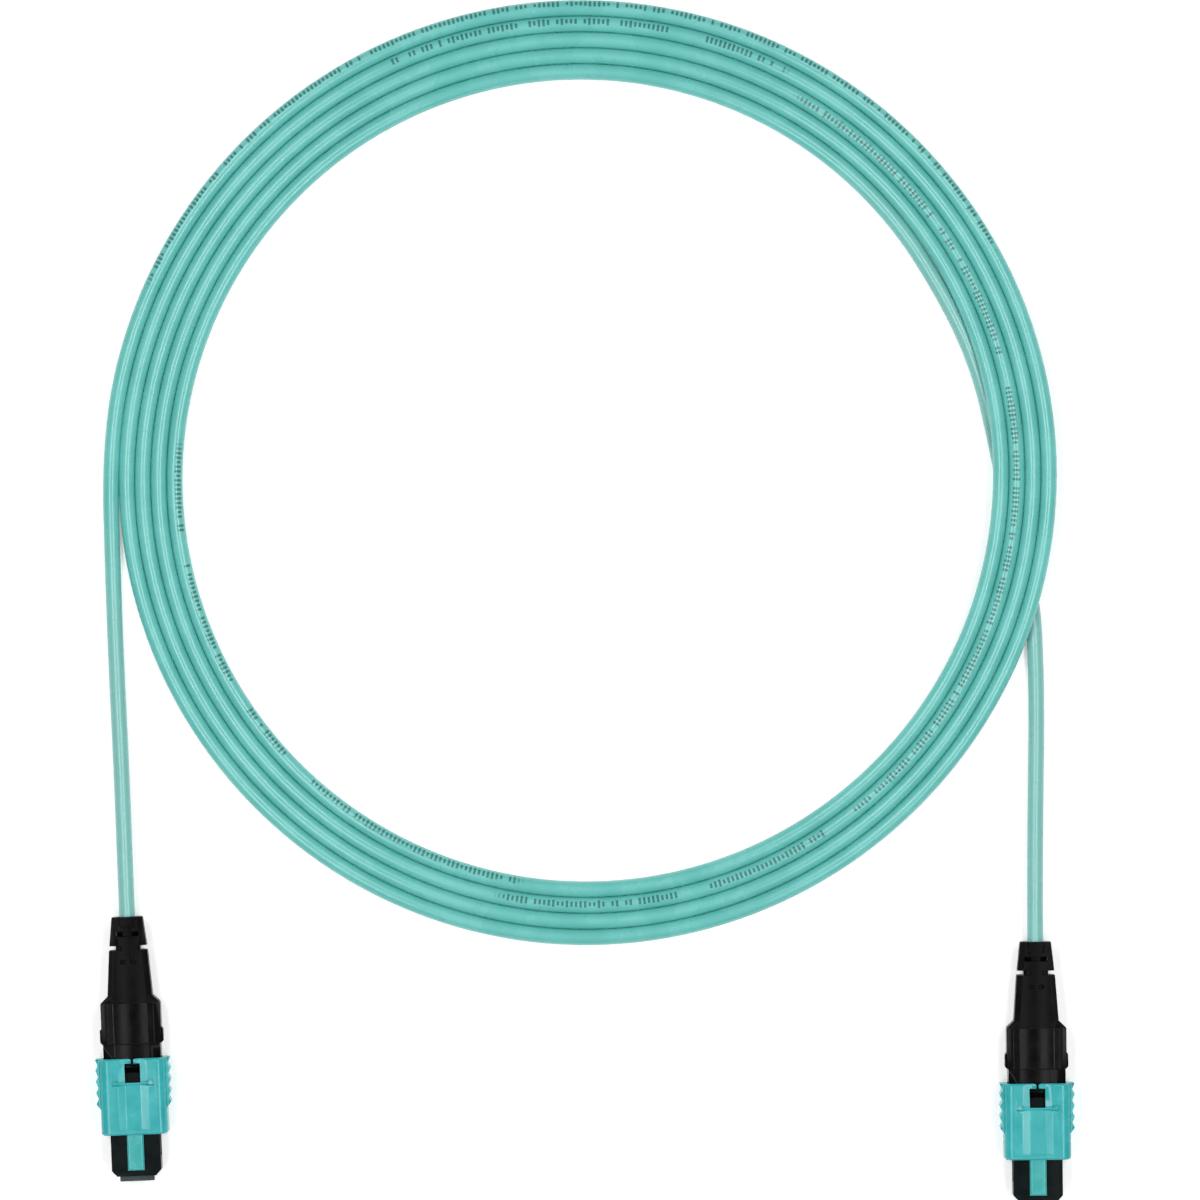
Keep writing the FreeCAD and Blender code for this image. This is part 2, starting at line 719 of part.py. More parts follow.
def post_outline():
    """The crimp post in half section, as (radius, station) corners, with a ridge for the yarn."""
    root = dims.post_diameter / 2
    crest = root + dims.post_ridge_rise
    middle = (Stations.body_rear + Stations.post_rear) / 2
    front, rear = middle - dims.post_ridge_length / 2, middle + dims.post_ridge_length / 2
    return [(ZERO, Stations.post_rear), (ZERO, Stations.body_rear), (root, Stations.body_rear),
            (root, front), (crest, front), (crest, rear), (root, rear), (root, Stations.post_rear)]


def make_rear_body(plug):
    """The rear body: a spigot that snaps into the housing, grip nubs and the crimp post."""
    body = plug.body("rear_body")
    front, rear = Stations.body_front, Stations.body_rear
    pad(body, "main", "XZ_Plane", front, rear, [centred(dims.body_width, dims.body_height)])
    chamfer(body, "main_edges", dims.body_bevel, along_axis)
    collar = centred(dims.collar_width, dims.collar_height)
    pad(body, "collar", "XZ_Plane", Stations.housing_rear, front, [collar])
    spigot = centred(dims.flange_width, dims.flange_height)
    pad(body, "spigot", "XZ_Plane", Stations.spigot_front, Stations.housing_rear, [spigot])
    snap_foot = dims.flange_height / 2
    snap_crest = dims.housing_height / 2 - dims.flange_gap
    snap_front = Stations.snap_front + dims.flange_gap
    snap_rear = Stations.snap_front + dims.snap_window_length - dims.flange_gap
    barb = [(snap_front, snap_foot), (snap_rear, snap_foot), (snap_rear, snap_crest),
            (snap_rear - dims.flange_gap * 3, snap_crest)]
    lower_barb = [(along, -up) for along, up in reversed(barb)]
    half_barb = dims.snap_window_width / 2 - dims.flange_gap
    pad(body, "barbs", "YZ_Plane", -half_barb, half_barb, [barb, lower_barb])
    side = dims.body_width / 2
    nub = [(side, front), (side + dims.nub_rise, front + dims.nub_rise),
           (side + dims.nub_rise, front + dims.nub_length - dims.nub_rise),
           (side, front + dims.nub_length)]
    pad(body, "nubs", "XY_Plane", -dims.nub_height / 2, dims.nub_height / 2, [nub, mirrored(nub)])
    turn(body, "PartDesign::Revolution", "post", post_outline())
    passage = centred(dims.ribbon_width + dims.end_gap * 2, dims.post_bore / 2)
    pocket(body, "ribbon_passage", "XZ_Plane", Stations.spigot_front, rear, [passage])
    pocket(body, "post_bore", "XZ_Plane", rear - dims.shoulder_length, Stations.post_rear, [],
           [((ZERO, ZERO), dims.post_bore / 2)])


def yarn_inside():
    return dims.post_diameter / 2 + dims.post_ridge_rise + dims.cable_gap


def crimp_inside():
    return yarn_inside() + dims.aramid_thickness + dims.cable_gap


def cable_bore():
    return dims.cable_diameter / 2 + dims.cable_gap


def make_aramid_yarn(plug):
    """The cable's yarn, folded back over the post and squeezed six-sided by the crimp ring."""
    body = plug.body("aramid_yarn")
    front, rear = Stations.body_rear + dims.end_gap, Stations.post_rear
    pad(body, "yarn", "XZ_Plane", front, rear, [hexagon(yarn_inside() + dims.aramid_thickness)])
    pocket(body, "post_room", "XZ_Plane", front, rear, [], [((ZERO, ZERO), yarn_inside())])


def make_crimp_ring(plug):
    """A stepped metal ring crimped six-sided: wide over the yarn, narrow over the jacket."""
    body = plug.body("crimp_ring")
    front = Stations.body_rear + dims.end_gap
    step = Stations.post_rear + dims.end_gap
    rear = Stations.post_rear + dims.crimp_tail_length
    step_rear = step + dims.crimp_wall
    wide, narrow = crimp_inside() + dims.crimp_wall, cable_bore() + dims.crimp_wall
    pad(body, "wide_end", "XZ_Plane", front, step_rear, [hexagon(wide)])
    pad(body, "narrow_end", "XZ_Plane", step_rear, rear, [hexagon(narrow)])
    pocket(body, "yarn_room", "XZ_Plane", front, step, [hexagon(crimp_inside())])
    pocket(body, "cable_room", "XZ_Plane", front, rear, [], [((ZERO, ZERO), cable_bore())])


def make_strain_relief(plug):
    """The bend-relief boot: a shoulder, a long segment, a notched neck and a slotted ring."""
    body = plug.body("strain_relief")
    front, rear = Stations.body_rear, Stations.boot_rear
    edge = dims.boot_edge
    base = bevelled(dims.body_width, dims.body_height, edge)
    root = bevelled(dims.boot_root_width, dims.boot_root_height, edge)
    waist = bevelled(dims.boot_waist_width, dims.boot_waist_height, edge)
    neck = bevelled(dims.boot_neck_width, dims.boot_waist_height, edge)
    ring = bevelled(dims.boot_ring_width, dims.boot_waist_height, edge)
    ring_end = bevelled(dims.boot_end_width, dims.boot_end_height, edge)
    taper(body, "shoulder", front, Stations.shoulder_rear, base, root)
    taper(body, "segment", Stations.shoulder_rear, Stations.segment_rear, root, waist)
    pad(body, "neck", "XZ_Plane", Stations.segment_rear, Stations.ring_front, [neck])
    taper(body, "ring", Stations.ring_front, rear, ring, ring_end)
    slot_front = Stations.ring_front + dims.slot_setback
    slot_rear = slot_front + dims.slot_length
    slot_half = dims.boot_neck_width / 2 - dims.flange_gap
    half_height = dims.boot_waist_height / 2
    slot = rectangle(-slot_half, slot_half, slot_front, slot_rear)
    pocket(body, "ring_slot", "XY_Plane", -half_height, half_height, [slot])
    pad(body, "spine", "XZ_Plane", slot_front, slot_rear,
        [octagon((ZERO, ZERO), cable_bore() + dims.spine_wall)])
    crimp_rear = Stations.post_rear + dims.crimp_tail_length + dims.boot_crimp_gap
    pocket(body, "crimp_room", "XZ_Plane", front, crimp_rear,
           [hexagon(crimp_inside() + dims.crimp_wall + dims.boot_crimp_gap)])
    pocket(body, "cable_bore", "XZ_Plane", crimp_rear, rear, [], [((ZERO, ZERO), cable_bore())])
    mouth = rectangle(-dims.mouth_width / 2, dims.mouth_width / 2, rear - dims.mouth_length, rear)
    mouth_floor = dims.boot_end_height / 2 - dims.mouth_depth
    pocket(body, "mouth", "XY_Plane", mouth_floor, half_height, [mouth])
    pocket(body, "lower_mouth", "XY_Plane", -half_height, -mouth_floor, [mouth])
    pit_outer = dims.boot_neck_width / 2 - dims.neck_pit_inset
    pit = rectangle(pit_outer - dims.neck_pit_width, pit_outer, Stations.segment_rear,
                    Stations.ring_front)
    pit_floor = half_height - dims.neck_pit_depth
    pocket(body, "neck_pits", "XY_Plane", pit_floor, half_height, [pit, mirrored(pit)])
    pocket(body, "lower_neck_pits", "XY_Plane", -half_height, -pit_floor, [pit, mirrored(pit)])
    relief_rear = Stations.segment_rear - dims.relief_setback
    inner = dims.relief_width / 3
    relief = rectangle(inner, inner + dims.relief_width, relief_rear - dims.relief_length,
                       relief_rear)
    relief_floor = half_height - dims.relief_depth
    tall = dims.boot_root_height / 2
    pocket(body, "reliefs", "XY_Plane", relief_floor, tall, [relief, mirrored(relief)])
    pocket(body, "lower_reliefs", "XY_Plane", -tall, -relief_floor, [relief, mirrored(relief)])


PLUG_PIECES = [
    make_ferrule, make_ferrule_boot, make_pin_keeper, make_fibre_bundle, make_ferrule_spring,
    make_housing, make_key, make_sleeve,
    lambda plug: make_sleeve_spring(plug, "left", -1),
    lambda plug: make_sleeve_spring(plug, "right", 1),
    make_rear_body, make_aramid_yarn, make_crimp_ring, make_strain_relief,
]

# Where the coil's middle lies along Y, and plug B's place: how far in from the far side of
# the coil, and how far along Y. Its turn is in degrees.
COIL_MIDDLE = 103.95
PLUG_B_PLACE = (8.4, -11.5)
PLUG_B_TURN = -1.73

# How far the cable runs straight beyond each boot, and the cable's route from there to the
# coil, chosen by hand: it comes down to the table and meets the coil as a tangent. Plug B's
# route is measured in from the far side of the coil too.
STRAIGHT_EXIT = 6.5
TAIL_A_ROUTE = [(-0.1, 51.3), (0.0, 84.0)]
TAIL_B_ROUTE = [(6.45, 39.8), (5.7, 67.0)]

# The coil's hump over the cable that passes beneath it, measured from the coil's middle.
HUMP_FOOT_LOW, HUMP_TOP_LOW, HUMP_TOP_HIGH, HUMP_FOOT_HIGH = -69.0, -39.0, 13.0, 52.0


def plug_placement(place, turn_angle, axis_height, half_length):
    """Stand a plug's own frame on the table with the middle of its length at the place."""
    rotation = FreeCAD.Rotation(FreeCAD.Vector(0, 0, 1), turn_angle)
    middle = FreeCAD.Vector(place[0], place[1], axis_height)
    return FreeCAD.Placement(middle - rotation.multVec(FreeCAD.Vector(0, half_length, 0)), rotation)


def cable_route(plug, on_table, cable_radius):
    """The tail's corner points: two on the plug's axis, then the ones along the table."""
    stations = (Stations.post_rear.value, Stations.boot_rear.value + STRAIGHT_EXIT)
    route = [plug.placement.multVec(FreeCAD.Vector(0, station, 0)) for station in stations]
    return route + [FreeCAD.Vector(x, y, cable_radius) for x, y in on_table]


def rounded_path(route):
    """Straight runs along the route joined by the largest tangent arcs that they allow."""
    edges = []
    here = route[0]
    radii = []
    for before, corner, after in zip(route, route[1:], route[2:]):
        way_in, way_out = corner - before, after - corner
        half_turn = way_in.getAngle(way_out) / 2
        trim = 0.45 * min(way_in.Length, way_out.Length)
        radii.append(trim / math.tan(half_turn))
        start = corner - way_in.normalize() * trim
        end = corner + way_out.normalize() * trim
        inward = (way_out - way_in).normalize()
        reach = radii[-1] / math.cos(half_turn) - radii[-1]
        edges.append(Part.LineSegment(here, start).toShape())
        edges.append(Part.Arc(start, corner + inward * reach, end).toShape())
        here = end
    edges.append(Part.LineSegment(here, route[-1]).toShape())
    return Part.Wire(edges), radii


def make_tail(plug, route, cable_radius):
    path, radii = rounded_path(route)
    section = Part.Wire(Part.makeCircle(cable_radius, route[0], route[1] - route[0]))
    tube = path.makePipeShell([section], True, False)
    exact = math.pi * cable_radius**2 * path.Length
    print(f"cable_tail_{plug.suffix}: length {path.Length:.1f}, tightest radius {min(radii):.0f},"
          f" volume {tube.Volume:.1f} of {exact:.1f}")
    feature = doc.addObject("Part::Feature", f"cable_tail_{plug.suffix}")
    feature.Label = f"cable_tail_{plug.suffix}"
    feature.Shape = tube
    pieces.append(feature)


def ring_solid(inner, outer, height):
    """A flat ring with its four long edges bevelled."""
    ring = Part.makeCylinder(outer, height).cut(Part.makeCylinder(inner, height))
    round_edges = [edge for edge in ring.Edges if isinstance(edge.Curve, Part.Circle)]
    return ring.makeChamfer(dims.coil_bevel.value, round_edges)


def make_coil(tails, cable_radius):
    """The outer shape of the wound turns: a flat ring with a long low hump and two tail stubs."""
    diameter = cable_radius * 2
    strands = math.ceil(dims.coil_turns.value)
    middle = dims.coil_radius.value
    outer = middle + cable_radius - diameter / 4
    inner = outer - diameter * strands
    top = diameter + dims.hump_rise.value
    low_ring = ring_solid(inner, outer, diameter)
    tall_ring = ring_solid(inner, outer, top)
    hump_profile = [(HUMP_FOOT_LOW, 0), (HUMP_FOOT_LOW, diameter), (HUMP_TOP_LOW, top),
                    (HUMP_TOP_HIGH, top), (HUMP_FOOT_HIGH, diameter), (HUMP_FOOT_HIGH, 0),
                    (HUMP_FOOT_LOW, 0)]
    wall = Part.makePolygon([FreeCAD.Vector(0, along, up) for along, up in hump_profile])
    prism = Part.Face(wall).extrude(FreeCAD.Vector(outer + diameter, 0, 0))
    coil = low_ring.fuse(tall_ring.common(prism))
    coil.translate(FreeCAD.Vector(middle, COIL_MIDDLE, 0))
    for route, reach in tails:
        start = route[-1]
        direction = start - route[-2]
        coil = coil.fuse(Part.makeCylinder(cable_radius, reach, start, direction))
    feature = doc.addObject("Part::Feature", "cable_coil")
    feature.Label = "cable_coil"
    feature.Shape = coil.removeSplitter()
    pieces.append(feature)


def build():
    axis_height = dims.sleeve_height.value / 2
    half_length = Stations.boot_rear.value / 2
    plug_a = Plug("a", plug_placement((0, 0), 0, axis_height, half_length))
    far_side = dims.coil_radius.value * 2
    place_b = (far_side - PLUG_B_PLACE[0], PLUG_B_PLACE[1])
    plug_b = Plug("b", plug_placement(place_b, PLUG_B_TURN, axis_height, half_length))
    cable_radius = dims.cable_diameter.value / 2
    route_a = cable_route(plug_a, TAIL_A_ROUTE, cable_radius)
    on_table_b = [(far_side - inset, along) for inset, along in TAIL_B_ROUTE]
    route_b = cable_route(plug_b, on_table_b, cable_radius)
    for plug, route in ((plug_a, route_a), (plug_b, route_b)):
        for make_piece in PLUG_PIECES:
            make_piece(plug)
        make_tail(plug, route, cable_radius)
    make_coil([(route_a, 22.0), (route_b, 14.0)], cable_radius)


def check_and_write():
    """Stop on any failed object or bad solid, then write one file for each piece."""
    doc.recompute()
    for item in doc.Objects:
        if {"Invalid", "Error"} & set(item.State):
            raise ValueError(f"{item.Label} failed: {item.State}")
    for piece in pieces:
        shape = piece.Shape
        if shape.isNull() or not shape.isValid() or len(shape.Solids) != 1:
            raise ValueError(f"{piece.Label} is not one valid solid: {len(shape.Solids)} solids")
    for piece in pieces:
        piece.Shape.exportStep(f"parts/{piece.Label}.step")
        print(f"{piece.Label}: {piece.Shape.Volume:.2f} mm3")


build()
check_and_write()
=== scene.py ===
# %% [markdown]
# # A multi-fibre patch cord in Blender
# The real thing is 2.5 m of aqua cable, wound flat and let go, with the same push-on plug
# on both ends. The CAD model gives every piece its size and place, so this lesson loads it
# as a fixed frame and then dresses it: a smooth cable first, then plastics, springs and
# the soft edges that moulded parts have.

# %% Load the frame
import json
import math
import bmesh
import bpy
from mathutils import Matrix, Vector
from mathutils.bvhtree import BVHTree
from mathutils.geometry import intersect_point_line

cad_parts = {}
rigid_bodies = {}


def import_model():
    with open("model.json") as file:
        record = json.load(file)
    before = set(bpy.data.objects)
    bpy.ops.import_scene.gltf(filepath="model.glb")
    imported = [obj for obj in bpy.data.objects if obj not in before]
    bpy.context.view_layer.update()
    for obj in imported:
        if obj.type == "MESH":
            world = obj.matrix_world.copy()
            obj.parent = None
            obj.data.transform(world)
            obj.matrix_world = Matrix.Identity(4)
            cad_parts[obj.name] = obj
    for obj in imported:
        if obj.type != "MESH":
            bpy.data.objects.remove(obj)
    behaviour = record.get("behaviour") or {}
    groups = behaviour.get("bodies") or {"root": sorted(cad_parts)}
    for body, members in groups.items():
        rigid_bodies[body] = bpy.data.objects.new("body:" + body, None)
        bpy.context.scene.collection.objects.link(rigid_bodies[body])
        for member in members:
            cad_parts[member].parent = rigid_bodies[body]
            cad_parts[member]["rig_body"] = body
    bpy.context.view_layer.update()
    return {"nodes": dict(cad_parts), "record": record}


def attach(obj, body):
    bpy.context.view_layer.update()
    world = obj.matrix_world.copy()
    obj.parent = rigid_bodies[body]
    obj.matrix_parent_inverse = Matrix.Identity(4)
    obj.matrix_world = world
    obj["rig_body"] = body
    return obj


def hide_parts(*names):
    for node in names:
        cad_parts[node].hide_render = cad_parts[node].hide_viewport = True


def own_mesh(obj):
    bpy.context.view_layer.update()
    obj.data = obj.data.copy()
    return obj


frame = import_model()
MM = 0.001

# %% [markdown]
# ## Where the plugs lie
# Each plug was drawn in a frame of its own: x across, y from the ferrule's face towards the
# cable, z up. The record keeps the two guide holes of each plug as mounts, and a hole's
# place and direction are enough to find that frame again, so no turn is measured here.

# %% Find each plug's own frame
BORE_STATION = 5.2 * MM


def plug_frame(end):
    """The matrix that takes a point of a plug's own frame to the table."""
    bores = {m["name"]: m for m in frame["record"]["mounts"] if m["name"].endswith("_" + end)}
    left = Vector(bores["guide_bore_left_" + end]["pos_m"])
    right = Vector(bores["guide_bore_right_" + end]["pos_m"])
    across = (right - left).normalized()
    along = -Vector(bores["guide_bore_left_" + end]["axis"]).normalized()
    up = across.cross(along)
    turn = Matrix((across, along, up)).transposed().to_4x4()
    origin = (left + right) / 2 - along * BORE_STATION
    return Matrix.Translation(origin) @ turn


PLUG = {end: plug_frame(end) for end in "ab"}
for end, matrix in PLUG.items():
    print("plug", end, "face at", [round(v / MM, 2) for v in matrix.translation])

# %% [markdown]
# ## Helpers for node trees
# Every material below is written with these few functions. Each adds one node, fills its
# sockets with plain values or links, and gives back the socket to use next.

# %% Define the helpers


def new_material(name):
    """A node material with its Principled shader, its nodes and its links."""
    material = bpy.data.materials.new(name)
    material.use_nodes = True
    return material, material.node_tree.nodes, material.node_tree.links


def wire_up(tree, socket, value):
    """Link a socket to another node's output, or give it a plain value."""
    if isinstance(value, bpy.types.NodeSocket):
        tree.links.new(value, socket)
    else:
        socket.default_value = value


def put(tree, kind, sockets=None, **settings):
    """Add a shader node with its settings and its named sockets."""
    node = tree.nodes.new("ShaderNode" + kind)
    for name, value in settings.items():
        setattr(node, name, value)
    for name, value in (sockets or {}).items():
        wire_up(tree, node.inputs[name], value)
    return node


def calculate(tree, operation, *values):
    """A Math node's result."""
    node = tree.nodes.new("ShaderNodeMath")
    node.operation = operation
    for socket, value in zip(node.inputs, values):
        wire_up(tree, socket, value)
    return node.outputs[0]


def mixed(tree, amount, first, second):
    """A colour between two others."""
    node = tree.nodes.new("ShaderNodeMix")
    node.data_type = "RGBA"
    colours = [socket for socket in node.inputs if socket.type == "RGBA"]
    wire_up(tree, node.inputs[0], amount)
    wire_up(tree, colours[0], first)
    wire_up(tree, colours[1], second)
    return next(socket for socket in node.outputs if socket.type == "RGBA")


def stretched(tree, value, low, high, new_low=0.0, new_high=1.0):
    """A value taken from one range to another, and kept inside it."""
    sockets = {"Value": value, "From Min": low, "From Max": high,
               "To Min": new_low, "To Max": new_high}
    return put(tree, "MapRange", sockets).outputs["Result"]


# %% [markdown]
# ## A table to lie on, and a camera over it
# The cord lies flat and is looked at from straight above, so a long lens far away keeps the
# circle round and the plugs unsloped. The floor is white to the camera, and still takes
# the cord's shadow, because only part of its colour is its own light.

# %% Set the camera
VIEW_CENTRE = (91.09 * MM, 80.63 * MM)
VIEW_WIDTH = 225.6 * MM
VIEW_LEVEL = 2 * MM
VIEW_TURN = math.radians(-2.3)
CAMERA_DISTANCE = 1.5
camera_data = bpy.data.cameras.new("overhead")
camera_data.sensor_width = 36
camera_data.lens = camera_data.sensor_width * CAMERA_DISTANCE / VIEW_WIDTH
camera_data.clip_start = 0.01
camera = bpy.data.objects.new("overhead", camera_data)
camera.location = (*VIEW_CENTRE, VIEW_LEVEL + CAMERA_DISTANCE)
camera.rotation_euler = (0, 0, VIEW_TURN)
bpy.context.scene.collection.objects.link(camera)
bpy.context.scene.camera = camera
print("lens", round(camera_data.lens, 1), "mm")


# %% Lay the floor
FLOOR_COLOUR = 0.93
FLOOR_GLOW = 0.36
FLOOR_REACH = 4.0

floor_material, nodes, links = new_material("white_table")
nodes.clear()
tree = floor_material.node_tree
paper = put(tree, "BsdfDiffuse", {"Color": (FLOOR_COLOUR, FLOOR_COLOUR, FLOOR_COLOUR, 1)})
path = put(tree, "LightPath").outputs
seen = calculate(tree, "MAXIMUM", path["Is Camera Ray"], path["Is Glossy Ray"])
seen = calculate(tree, "MAXIMUM", seen, path["Is Transmission Ray"])
glow = put(tree, "Emission", {"Strength": calculate(tree, "MULTIPLY", seen, FLOOR_GLOW)})
both = put(tree, "AddShader")
links.new(paper.outputs[0], both.inputs[0])
links.new(glow.outputs[0], both.inputs[1])
put(tree, "OutputMaterial", {"Surface": both.outputs[0]})

bm = bmesh.new()
bmesh.ops.create_grid(bm, x_segments=1, y_segments=1, size=FLOOR_REACH)
floor_mesh = bpy.data.meshes.new("table_top")
bm.to_mesh(floor_mesh)
bm.free()
floor = bpy.data.objects.new("table_top", floor_mesh)
floor.data.materials.append(floor_material)
bpy.context.scene.collection.objects.link(floor)
print("floor laid at z = 0")

# %% [markdown]
# ## Soft light from both sides
# Two long soft boxes hang left and right of the camera. A round cable sees both as one broad
# line along its top, and the grooves between the strands stay darker. Right overhead it is
# darker, as it is in a room where somebody stands over a table, so flat black plastic
# looks black. The lamps give the shine, and the room fills in the shadows.

# %% Hang the lamps
LAMP_HEIGHT = 1.1
LAMP_OFFSET = 0.40
LAMP_WIDTH = 0.28
LAMP_LENGTH = 1.3
LAMP_WATTS = 7.6


def hang_softbox(name, across):
    """A long soft box beside the camera, turned to face the middle of the picture."""
    lamp_data = bpy.data.lights.new(name, "AREA")
    lamp_data.shape = "RECTANGLE"
    lamp_data.size = LAMP_WIDTH
    lamp_data.size_y = LAMP_LENGTH
    lamp_data.energy = LAMP_WATTS
    lamp = bpy.data.objects.new(name, lamp_data)
    lamp.location = (VIEW_CENTRE[0] + across, VIEW_CENTRE[1], LAMP_HEIGHT)
    lamp.rotation_euler = (0, math.atan2(across, LAMP_HEIGHT), 0)
    bpy.context.scene.collection.objects.link(lamp)


hang_softbox("softbox_left", -LAMP_OFFSET)
hang_softbox("softbox_right", LAMP_OFFSET)

# %% Fill the world
ROOM_OVERHEAD = 0.14
ROOM_AROUND = 0.28
DIMS_FROM = 0.55

world = bpy.data.worlds.new("even_room")
world.use_nodes = True
bpy.context.scene.world = world
tree = world.node_tree
tree.nodes.clear()
direction = put(tree, "TexCoord").outputs["Generated"]
upward = put(tree, "SeparateXYZ", {"Vector": direction}).outputs["Z"]
dimming = put(tree, "MapRange",
              {"Value": upward, "From Min": DIMS_FROM, "From Max": 1.0,
               "To Min": ROOM_AROUND, "To Max": ROOM_OVERHEAD}, interpolation_type="SMOOTHSTEP")
room = put(tree, "Background", {"Color": (1, 1, 1, 1), "Strength": dimming.outputs[0]})
wall = put(tree, "Background", {"Color": (1, 1, 1, 1)})
path = put(tree, "LightPath").outputs
choose = put(tree, "MixShader", {"Fac": path["Is Camera Ray"]})
tree.links.new(room.outputs[0], choose.inputs[1])
tree.links.new(wall.outputs[0], choose.inputs[2])
put(tree, "OutputWorld", {"Surface": choose.outputs[0]})
bpy.context.scene.view_settings.view_transform = "Standard"
print("two lamps, and a room of", ROOM_OVERHEAD, "to", ROOM_AROUND)

# %% [markdown]
# ## The cable
# A round jacket 3 mm across is stiff enough to keep an even circle, so the coil is a plain
# spiral: each turn lies beside the last, 3 mm further in. The inner end then leaves under
# the other turns, which rise over it in one long low hump. The route is the set of control
# points of one smooth NURBS curve.

# %% Lay out the cable's route
CABLE_RADIUS = 1.5 * MM
COIL_MIDDLE = Vector((88.9, 103.95, 0)) * MM
COIL_RADIUS = 88.9 * MM
TURN_PITCH = 2 * CABLE_RADIUS
STEP = 15
COIL_STEPS = 107
LIFT = 3.1 * MM
HUMP = ((-53, 0.0), (-26, 1.0), (9, 1.0), (37, 0.0))
LAST_HUMPED_STEP = 100


def hump_height(angle):
    """How far a turn is lifted off the table, where the angle round the coil is in degrees."""
    for (low, first), (high, second) in zip(HUMP, HUMP[1:]):
        if low <= angle <= high:
            return LIFT * (first + (second - first) * (angle - low) / (high - low))
    return 0.0


def coil_points():
    """The control points of the spiral, from plug A's side inwards."""
    points = []
    for step in range(COIL_STEPS):
        swept = (step + 0.5) * STEP
        angle = (180 - swept + 180) % 360 - 180
        radius = (COIL_RADIUS - TURN_PITCH * swept / 360) / math.cos(math.radians(STEP / 2))
        level = CABLE_RADIUS + (hump_height(angle) if step < LAST_HUMPED_STEP else 0.0)
        turned = math.radians(angle)
        points.append(COIL_MIDDLE
                      + Vector((radius * math.cos(turned), radius * math.sin(turned), level)))
    return points


def on_plug_axis(end, station):
    """A point on a plug's axis, so many millimetres behind the ferrule's face."""
    return PLUG[end] @ Vector((0, station * MM, 0))


def on_table(points):
    """Points given in millimetres, where the cable lies on the table."""
    return [Vector((x * MM, y * MM, CABLE_RADIUS)) for x, y in points]


TAIL_A = [(-0.1, 51.3), (-0.25, 68.5), (-0.28, 84.0)]
TAIL_B = [(164.3, 120.2), (166.7, 107.0), (168.3, 96.5), (170.5, 86.5), (172.4, 76.5),
          (172.5, 65.0), (172.15, 53.5), (171.45, 40.5)]
POST_REAR = 38.3
STRAIGHT_END = 56.1

route = [on_plug_axis("a", POST_REAR), on_plug_axis("a", STRAIGHT_END)]
route += on_table(TAIL_A) + coil_points() + on_table(TAIL_B)
route += [on_plug_axis("b", STRAIGHT_END), on_plug_axis("b", POST_REAR)]
print("route:", len(route), "control points")


# %% Draw the route as one smooth curve and read its line
PIECES_A_POINT = 8


def smooth_line(name, points, resolution):
    """The points of a smooth curve that a set of control points pulls into shape."""
    curve = bpy.data.curves.new(name, "CURVE")
    curve.dimensions = "3D"
    curve.resolution_u = resolution
    spline = curve.splines.new("NURBS")
    spline.points.add(len(points) - 1)
    for knot, point in zip(spline.points, points):
        knot.co = (*point, 1)
    spline.order_u = 3
    spline.use_endpoint_u = True
    holder = bpy.data.objects.new(name, curve)
    mesh = bpy.data.meshes.new_from_object(holder)
    line = [vertex.co.copy() for vertex in mesh.vertices]
    bpy.data.objects.remove(holder)
    bpy.data.meshes.remove(mesh)
    return line


cable_line = smooth_line("cable_route", route, PIECES_A_POINT)


# %% Sweep a round section along a line
def tube_along(line, radius, sides):
    """A tube swept ring by ring, with each vertex's ring number and its spoke round the ring."""
    bm = bmesh.new()
    ring_layer = bm.verts.layers.int.new("ring")
    spoke_layer = bm.verts.layers.int.new("spoke")
    tangents = []
    for index in range(len(line)):
        before, after = line[max(index - 1, 0)], line[min(index + 1, len(line) - 1)]
        tangents.append((after - before).normalized())
    up = Vector((0, 0, 1))
    ring = bmesh.ops.create_circle(bm, segments=sides, radius=radius, cap_ends=True)["verts"]
    side = tangents[0].cross(up).normalized()
    basis = Matrix((side, side.cross(tangents[0]), -tangents[0])).transposed()
    for spoke, vertex in enumerate(ring):
        vertex.co = line[0] + basis @ vertex.co
        vertex[spoke_layer] = spoke
    edges = list({edge for vertex in ring for edge in vertex.link_edges})
    for index in range(1, len(line)):
        grown = bmesh.ops.extrude_edge_only(bm, edges=edges)["geom"]
        ring = [item for item in grown if isinstance(item, bmesh.types.BMVert)]
        edges = [item for item in grown if isinstance(item, bmesh.types.BMEdge)
                 and item.verts[0] in ring and item.verts[1] in ring]
        turn = tangents[index - 1].rotation_difference(tangents[index]).to_matrix()
        for vertex in ring:
            vertex.co = line[index] + turn @ (vertex.co - line[index - 1])
            vertex[ring_layer] = index
    bmesh.ops.contextual_create(bm, geom=edges)
    bmesh.ops.recalc_face_normals(bm, faces=bm.faces)
    return bm


# %% [markdown]
# ## A legend that goes round with the jacket
# A cable's maker prints a line of small marks along it, and the line creeps slowly round the
# jacket as the cable is made. To follow the cable, the marks need coordinates that follow it
# too: u is the length run so far, and v is the share of the way round the jacket from the
# line of print. One attribute says where the jacket is printed, so the rest stays bare, and
# another where it is a free tail.

# %% Unroll the jacket
# Runs and fades are in turns of the coil, and the legend's angle and its creep in degrees.
LEGEND_RUNS = ((0.075, 0.425), (1.17, 1.33), (2.34, 2.79), (3.78, 4.02))
LEGEND_ANGLE = 38.0
LEGEND_CREEP = 17.0
COIL_TURNS = 4.36
FADE_A = 0.06
FADE_B = 0.08
SIDES = 24


def turns_along(line):
    """How many turns round the coil each point has made, counted from the coil's left side."""
    turns, total, before = [], 0.0, math.pi
    for point in line:
        away = point - COIL_MIDDLE
        bearing = math.atan2(away.y, away.x)
        step = (before - bearing + math.pi) % (2 * math.pi) - math.pi
        total += step / (2 * math.pi)
        turns.append(total)
        before = bearing
    return turns


